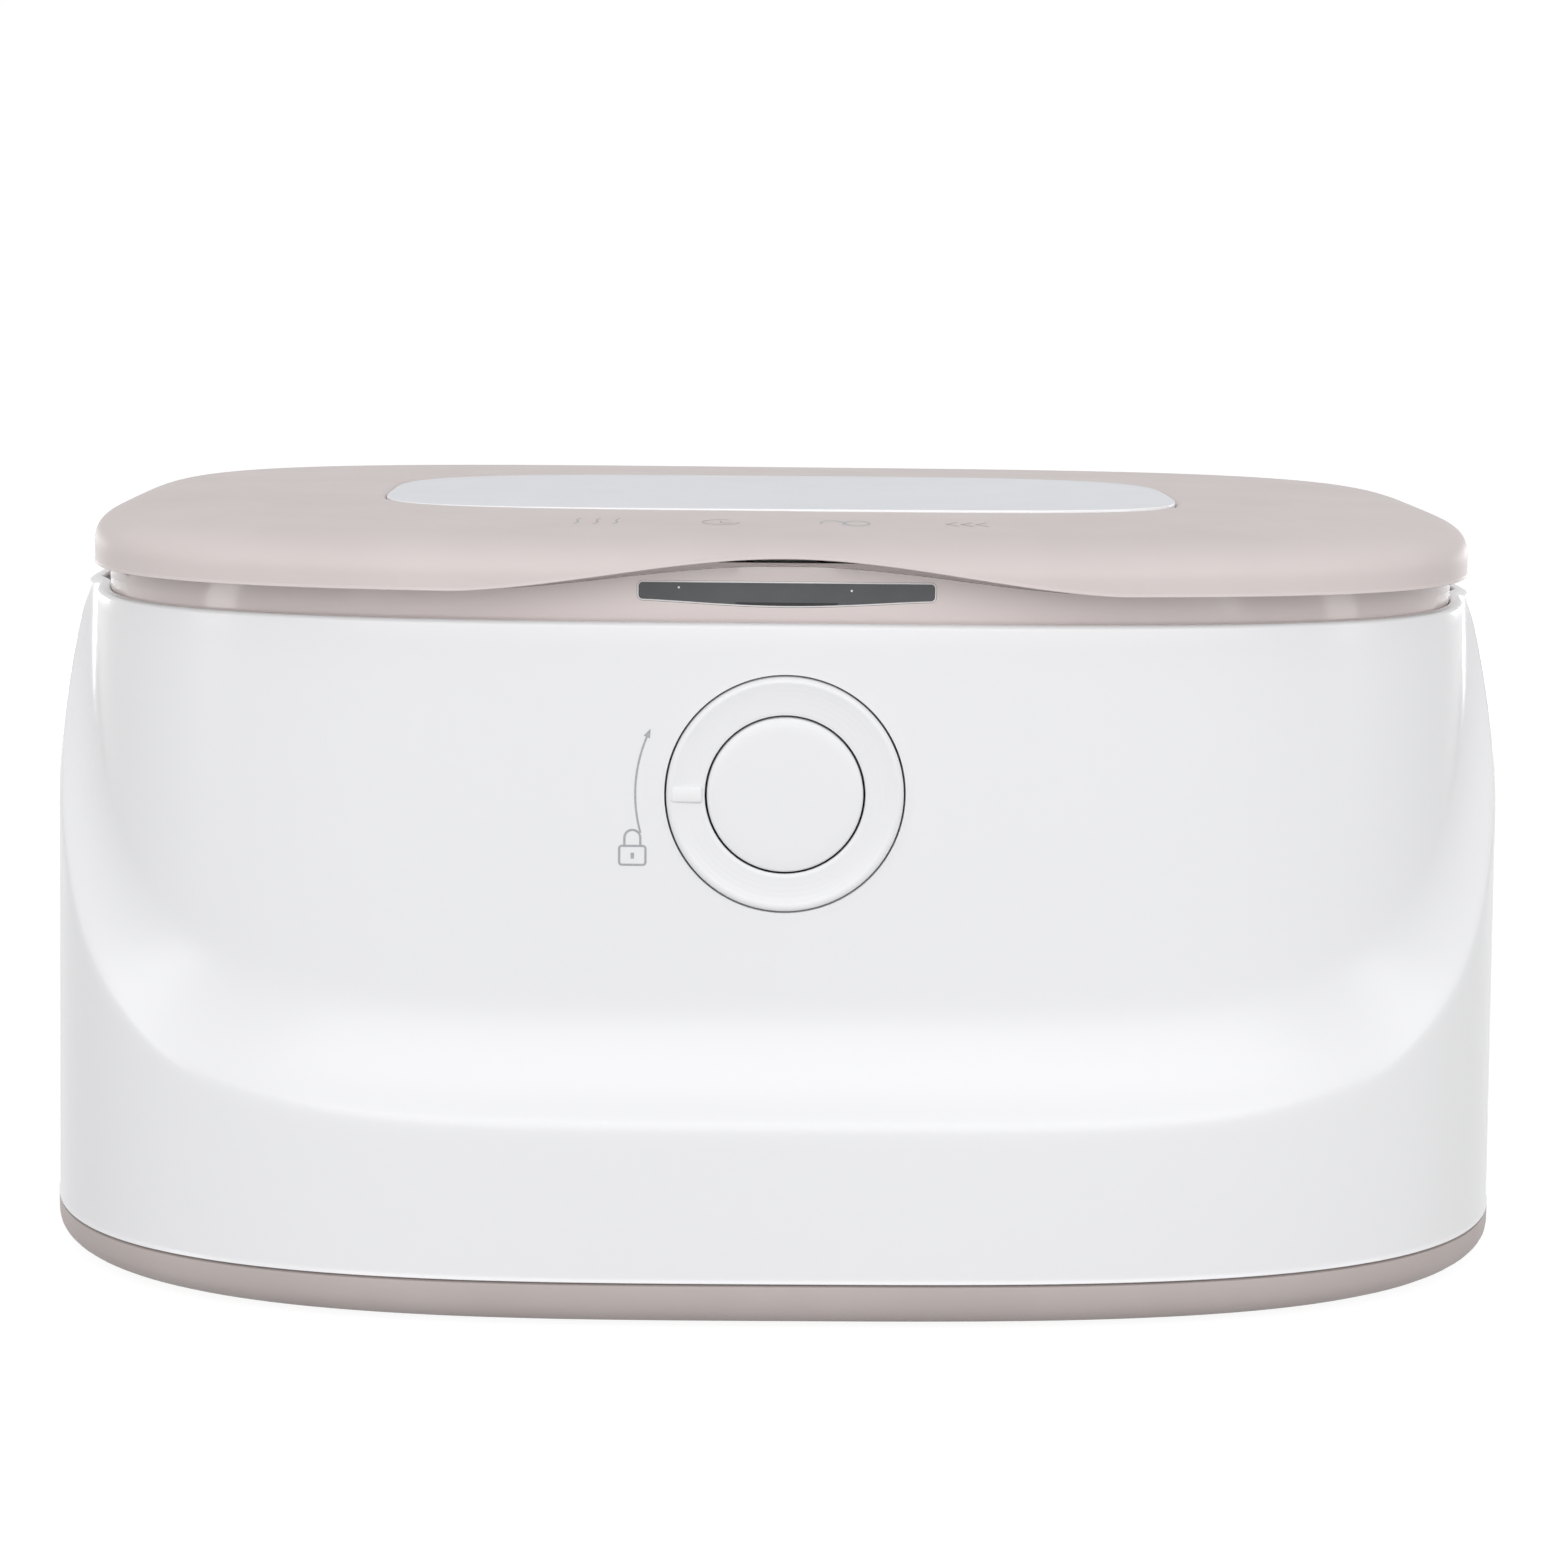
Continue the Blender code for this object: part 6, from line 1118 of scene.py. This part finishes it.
touch_strokes = [wavy(-0.0325), wavy(-0.0295), wavy(-0.0265),
                 ring_at(-0.0100, 0.0028, 60, 360), [(-0.0100, SIGN_Y + 0.0012), (-0.0100, SIGN_Y - 0.0008),
                                                     (-0.0083, SIGN_Y - 0.0012)],
                 ring_at(0.0072, 0.0018, -30, 200), ring_at(0.0110, 0.0019, 0, 359)]
for middle in (0.0256, 0.0279, 0.0302):
    touch_strokes.append([(middle + 0.0009, SIGN_Y + SIGN_REACH * 0.7), (middle - 0.0009, SIGN_Y),
                          (middle + 0.0009, SIGN_Y - SIGN_REACH * 0.7)])
touch_signs = ribbon("touch_signs", touch_strokes, 0.00032, on_lid)
face_out(touch_signs, (0.0, 0.0, 1.0))
touch_signs.data.materials.append(sign_ink)
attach(touch_signs, "lid")


# Light panel: a pale opal diffuser that stands a little proud of the lid, with a polished edge
# whose bright line is a painted highlight. It is clipped in from below and lit by the lamps under it.
PANEL_PROUD, PANEL_EDGE = 0.00010, 0.00025


def panel_top(x, y):
    """Height of the panel's face, which stands proud in front and sinks a little at the back."""
    tilt = 0.00018 * x / PANEL_HALF_WIDTH - 0.00015 * (y - PANEL_MIDDLE) / PANEL_HALF_DEPTH
    return crown(x, y) + PANEL_PROUD + tilt


def panel_point(turn, row):
    """Rows from the middle of the top out, round the edge, and back to the middle below."""
    inset, drop = PANEL_ROWS[row]
    if inset >= PANEL_HALF_DEPTH:
        return 0.0, PANEL_MIDDLE, panel_top(0.0, PANEL_MIDDLE) - drop
    x, y = opening(turn, -inset)
    height = panel_top(*opening(turn, -max(inset, 0.0)))
    return x, y, 0.1186 - 0.0001 * (drop > 0.0045) if drop > 0.004 else height - drop


PANEL_ROWS = [(0.05, 0.0)] + [(0.0345 - 0.0025 * step, 0.0) for step in range(14)] + [(0.0010, 0.0)]
PANEL_ROWS += [(PANEL_EDGE - across, PANEL_EDGE - up)
               for across, up in corner(PANEL_EDGE, 6, 90, 0, (0.0, 0.0))]
PANEL_ROWS += [(0.0, 0.0012), (0.0, 0.0041), (-0.0020, 0.0041), (-0.0020, 0.0047), (0.0024, 0.0047),
               (0.0024, 0.0019), (0.0200, 0.0019), (0.05, 0.0019)]
panel = wrapped("lit_panel", 256, len(PANEL_ROWS), panel_point)
smooth(panel, 35.0)

# Opal diffuser: milky and even, with the white scatter just under a finely frosted surface.
opal = finish_of("opal_diffuser", "#DEE0E5", 0.38, Specular_IOR_Level=0.45)
clouded(opal, 50.0, 0.0, "#DCDEE4", "#E0E2E6")
worn(opal, 10.0, 3.0, 0.34, 0.42)
grained(opal, 0.4, 2.0, 0.004)
panel.data.materials.append(opal)
# Painted highlight: the panel's polished edge is coloured near white so that it reads as a bright line.
panel_edge_painted_highlight = finish_of("panel_edge_painted_highlight", "#F7F7F8", 0.2, Specular_IOR_Level=0.6)
clouded(panel_edge_painted_highlight, 12.0, 1.0, "#F3F3F5", "#FAFAFB")
panel.data.materials.append(panel_edge_painted_highlight)
# The upright faces near the top take the painted highlight.
for face in panel.data.polygons:
    if abs(face.normal.z) < 0.8 and face.center.z > 0.1195:
        face.material_index = 1
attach(panel, "lid")
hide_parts("light_panel")


# Lid liner: a white plate screwed in under the lid, set back behind the arch. Its inner field is
# recessed over the tub; four hinge knuckles hang from its back on webs, and at the front a leg
# with a hooked nose goes down through the slot to the latch. One moulding.
LINER_LOW, LINER_TOP, LINER_FIELD = 0.1167, 0.1182, 0.1172
PIN_LOW, PIN_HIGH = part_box("catch_pin")
CATCH_Y, CATCH_Z = (PIN_LOW[1] + PIN_HIGH[1]) / 2, (PIN_LOW[2] + PIN_HIGH[2]) / 2


def liner_level(inset, height):
    return 0.1077 - inset, 0.06955 - inset, LID_ROUNDNESS, 0.00305, height


liner = stacked("lid_inner_plate", 256, [
    pole(TUB_MIDDLE, LINER_FIELD), tub_level(-0.0065, LINER_FIELD),
    tub_level(-0.0060, LINER_FIELD - 0.0001), tub_level(-0.0056, LINER_LOW + 0.0001),
    tub_level(-0.0052, LINER_LOW), liner_level(0.0005, LINER_LOW),
    liner_level(0.0001, LINER_LOW + 0.0002), liner_level(0.0, LINER_LOW + 0.0005),
    liner_level(0.0, LINER_TOP - 0.0003), liner_level(0.0003, LINER_TOP),
    liner_level(0.040, LINER_TOP), pole(TUB_MIDDLE, LINER_TOP)])
for side in (-1, 1):
    for near, far in ((0.0050, 0.0127), (0.0283, 0.0360)):
        low_x, high_x = min(near * side, far * side), max(near * side, far * side)
        carve(liner, block("web", (low_x + 0.0001, HINGE_Y - 0.0018, HINGE_Z),
                           (high_x - 0.0001, HINGE_Y + 0.0018, 0.1170), 0.0002, 2), "UNION")
        carve(liner, turned("knuckle", ((0.0, low_x), (0.0023, low_x), (0.0026, low_x + 0.0003),
                                        (0.0026, high_x - 0.0003), (0.0023, high_x), (0.0, high_x)),
                            (0.0, HINGE_Y, HINGE_Z), "X", 40), "UNION")
        carve(liner, turned("knuckle_bore", ((0.0, low_x - 0.001), (0.00122, low_x - 0.001),
                                             (0.00122, high_x + 0.001), (0.0, high_x + 0.001)),
                            (0.0, HINGE_Y, HINGE_Z), "X", 32))
carve(liner, block("catch_leg", (-0.0050, CATCH_Y - 0.0002, CATCH_Z - 0.0010),
                   (0.0050, CATCH_Y + 0.0013, 0.1174), 0.0002, 2), "UNION")
carve(liner, block("catch_nose", (-0.0049, CATCH_Y - 0.0013, CATCH_Z - 0.0010),
                   (0.0049, CATCH_Y + 0.0012, CATCH_Z + 0.0010), 0.0003, 3), "UNION")
carve(liner, turned("catch_bore", ((0.0, -0.006), (0.00062, -0.006), (0.00062, 0.006), (0.0, 0.006)),
                    (0.0, CATCH_Y, CATCH_Z), "X", 24))
smooth(liner, 30.0)
liner.data.materials.append(white_satin)
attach(liner, "lid")
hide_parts("lid_liner")


# Lid seal: an endless soft grey bead round the tub's mouth, pressed into the liner from below,
# with a rounded underside that lands on the tub's deck.
SEAL_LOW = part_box("lid_seal")[0][2]
SEAL_SECTION = ((0.0012, 0.0010), (0.0012, 0.0005), (0.0014, 0.0002), (0.0019, 0.0), (0.0029, 0.0),
                (0.0034, 0.0002), (0.0036, 0.0005), (0.0036, 0.0010), (0.0030, 0.0013),
                (0.0018, 0.0013), (0.0012, 0.0010))
seal = stacked("seal_bead", 256, [tub_level(grow, SEAL_LOW + up) for grow, up in SEAL_SECTION])
smooth(seal, 50.0)

# Silicone: soft, slightly dusty and matt.
silicone = finish_of("silicone_rubber", "#B9B9B8", 0.62, Specular_IOR_Level=0.4)
clouded(silicone, 8.0, 3.0, "#B2B2B1", "#C0C0BF")
grained(silicone, 0.5, 2.0, 0.01)
seal.data.materials.append(silicone)
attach(seal, "lid")
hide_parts("lid_seal")


# Hinge pins: turned steel rods with chamfered ends, pressed into the liner's knuckles; each
# turns in the collar's ear between them.
for number, node in ((1, "hinge_pin_left"), (2, "hinge_pin_right")):
    start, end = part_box(node)[0][0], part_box(node)[1][0]
    rod = turned(f"hinge_rod_{number}", ((0.0, start), (0.00095, start), (0.0012, start + 0.00025),
                                         (0.0012, end - 0.00025), (0.00095, end), (0.0, end)),
                 (0.0, HINGE_Y, HINGE_Z), "X", 32)
    smooth(rod, 30.0)
    rod.data.materials.append(zinc_steel)
    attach(rod, "lid")
    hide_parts(node)


# Power inlet: a black moulded jack behind the back wall, whose round mouth comes through the
# wall. Its bore is turned out round a centre contact pin.
JACK_LOW, JACK_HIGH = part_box("power_jack")
jack_back, mouth = JACK_LOW[1], JACK_HIGH[1]
jack = block("inlet_jack", (JACK_LOW[0], jack_back, JACK_LOW[2]),
             (JACK_HIGH[0], jack_back + 0.0110, JACK_HIGH[2]), 0.0005)
carve(jack, turned("jack_barrel", ((0.0, jack_back + 0.0080), (0.0040, jack_back + 0.0080),
                                   (0.0040, mouth - 0.0003), (0.0037, mouth), (0.0, mouth)),
                   (JACK_X, 0.0, JACK_HEIGHT), "Y", 64), "UNION")
carve(jack, turned("jack_bore", ((0.0010, mouth - 0.0090), (0.0029, mouth - 0.0090),
                                 (0.0029, mouth - 0.0003), (0.0032, mouth + 0.0001),
                                 (0.0, mouth + 0.0001), (0.0, mouth - 0.0015),
                                 (0.0007, mouth - 0.0015), (0.0010, mouth - 0.0018)),
                   (JACK_X, 0.0, JACK_HEIGHT), "Y", 64))
smooth(jack, 30.0)

# Black nylon: a dull sheen and the fine grain of a small eroded tool; the pin is nickel plated.
black_plastic = finish_of("black_plastic", "#232325", 0.42)
clouded(black_plastic, 4.0, 3.0, "#1F1F21", "#29292B")
grained(black_plastic, 0.4, 2.0, 0.008)
jack.data.materials.append(black_plastic)
jack.data.materials.append(zinc_steel)
for face in jack.data.polygons:
    if (math.hypot(face.center.x - JACK_X, face.center.z - JACK_HEIGHT) < 0.00105
            and mouth - 0.0089 < face.center.y < mouth - 0.0010):
        face.material_index = 1
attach(jack, "root")
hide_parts("power_jack")


# What stays as it was built and only gets its finish: the hidden works, each with the same
# named finishes as the pieces above or one of its own.
def dress(finish, *nodes):
    for node in nodes:
        made = bpy.data.objects[node]
        made.data.materials.clear()
        made.data.materials.append(finish)


board_green = finish_of("circuit_board", "#1E5A33", 0.38)
clouded(board_green, 3.0, 5.0, "#184A2A", "#256B3D")
foil = finish_of("heater_foil", "#C49A5A", 0.34, Metallic=0.7)
clouded(foil, 6.0, 4.0, "#B68C4E", "#D0A868")
foam = finish_of("insulation_foam", "#D5D5D0", 0.92)
clouded(foam, 2.0, 4.0, "#C6C6C1", "#DFDFDA")
grained(foam, 0.8, 3.0, 0.15)
acetal = finish_of("natural_acetal", "#E4E3DC", 0.36)
clouded(acetal, 5.0, 3.0, "#DFDED6", "#E9E8E1")

dress(white_satin, "dial_carrier", "latch_bracket")
dress(spring_steel, "hinge_spring_left", "hinge_spring_right")
dress(zinc_steel, "frame_screw_1", "frame_screw_2", "frame_screw_3", "frame_screw_4", "board_screw_1",
      "board_screw_2", "bracket_screw_1", "bracket_screw_2", "latch_pin", "catch_pin")
dress(board_green, "control_board", "display_board", "lamp_board", "touch_film")
dress(foil, "heater_band")
dress(foam, "insulation_sleeve")
dress(black_plastic, "power_lead", "heater_lead", "thermal_cutout")
dress(acetal, "lock_hook", "latch_lever", "temperature_sensor")
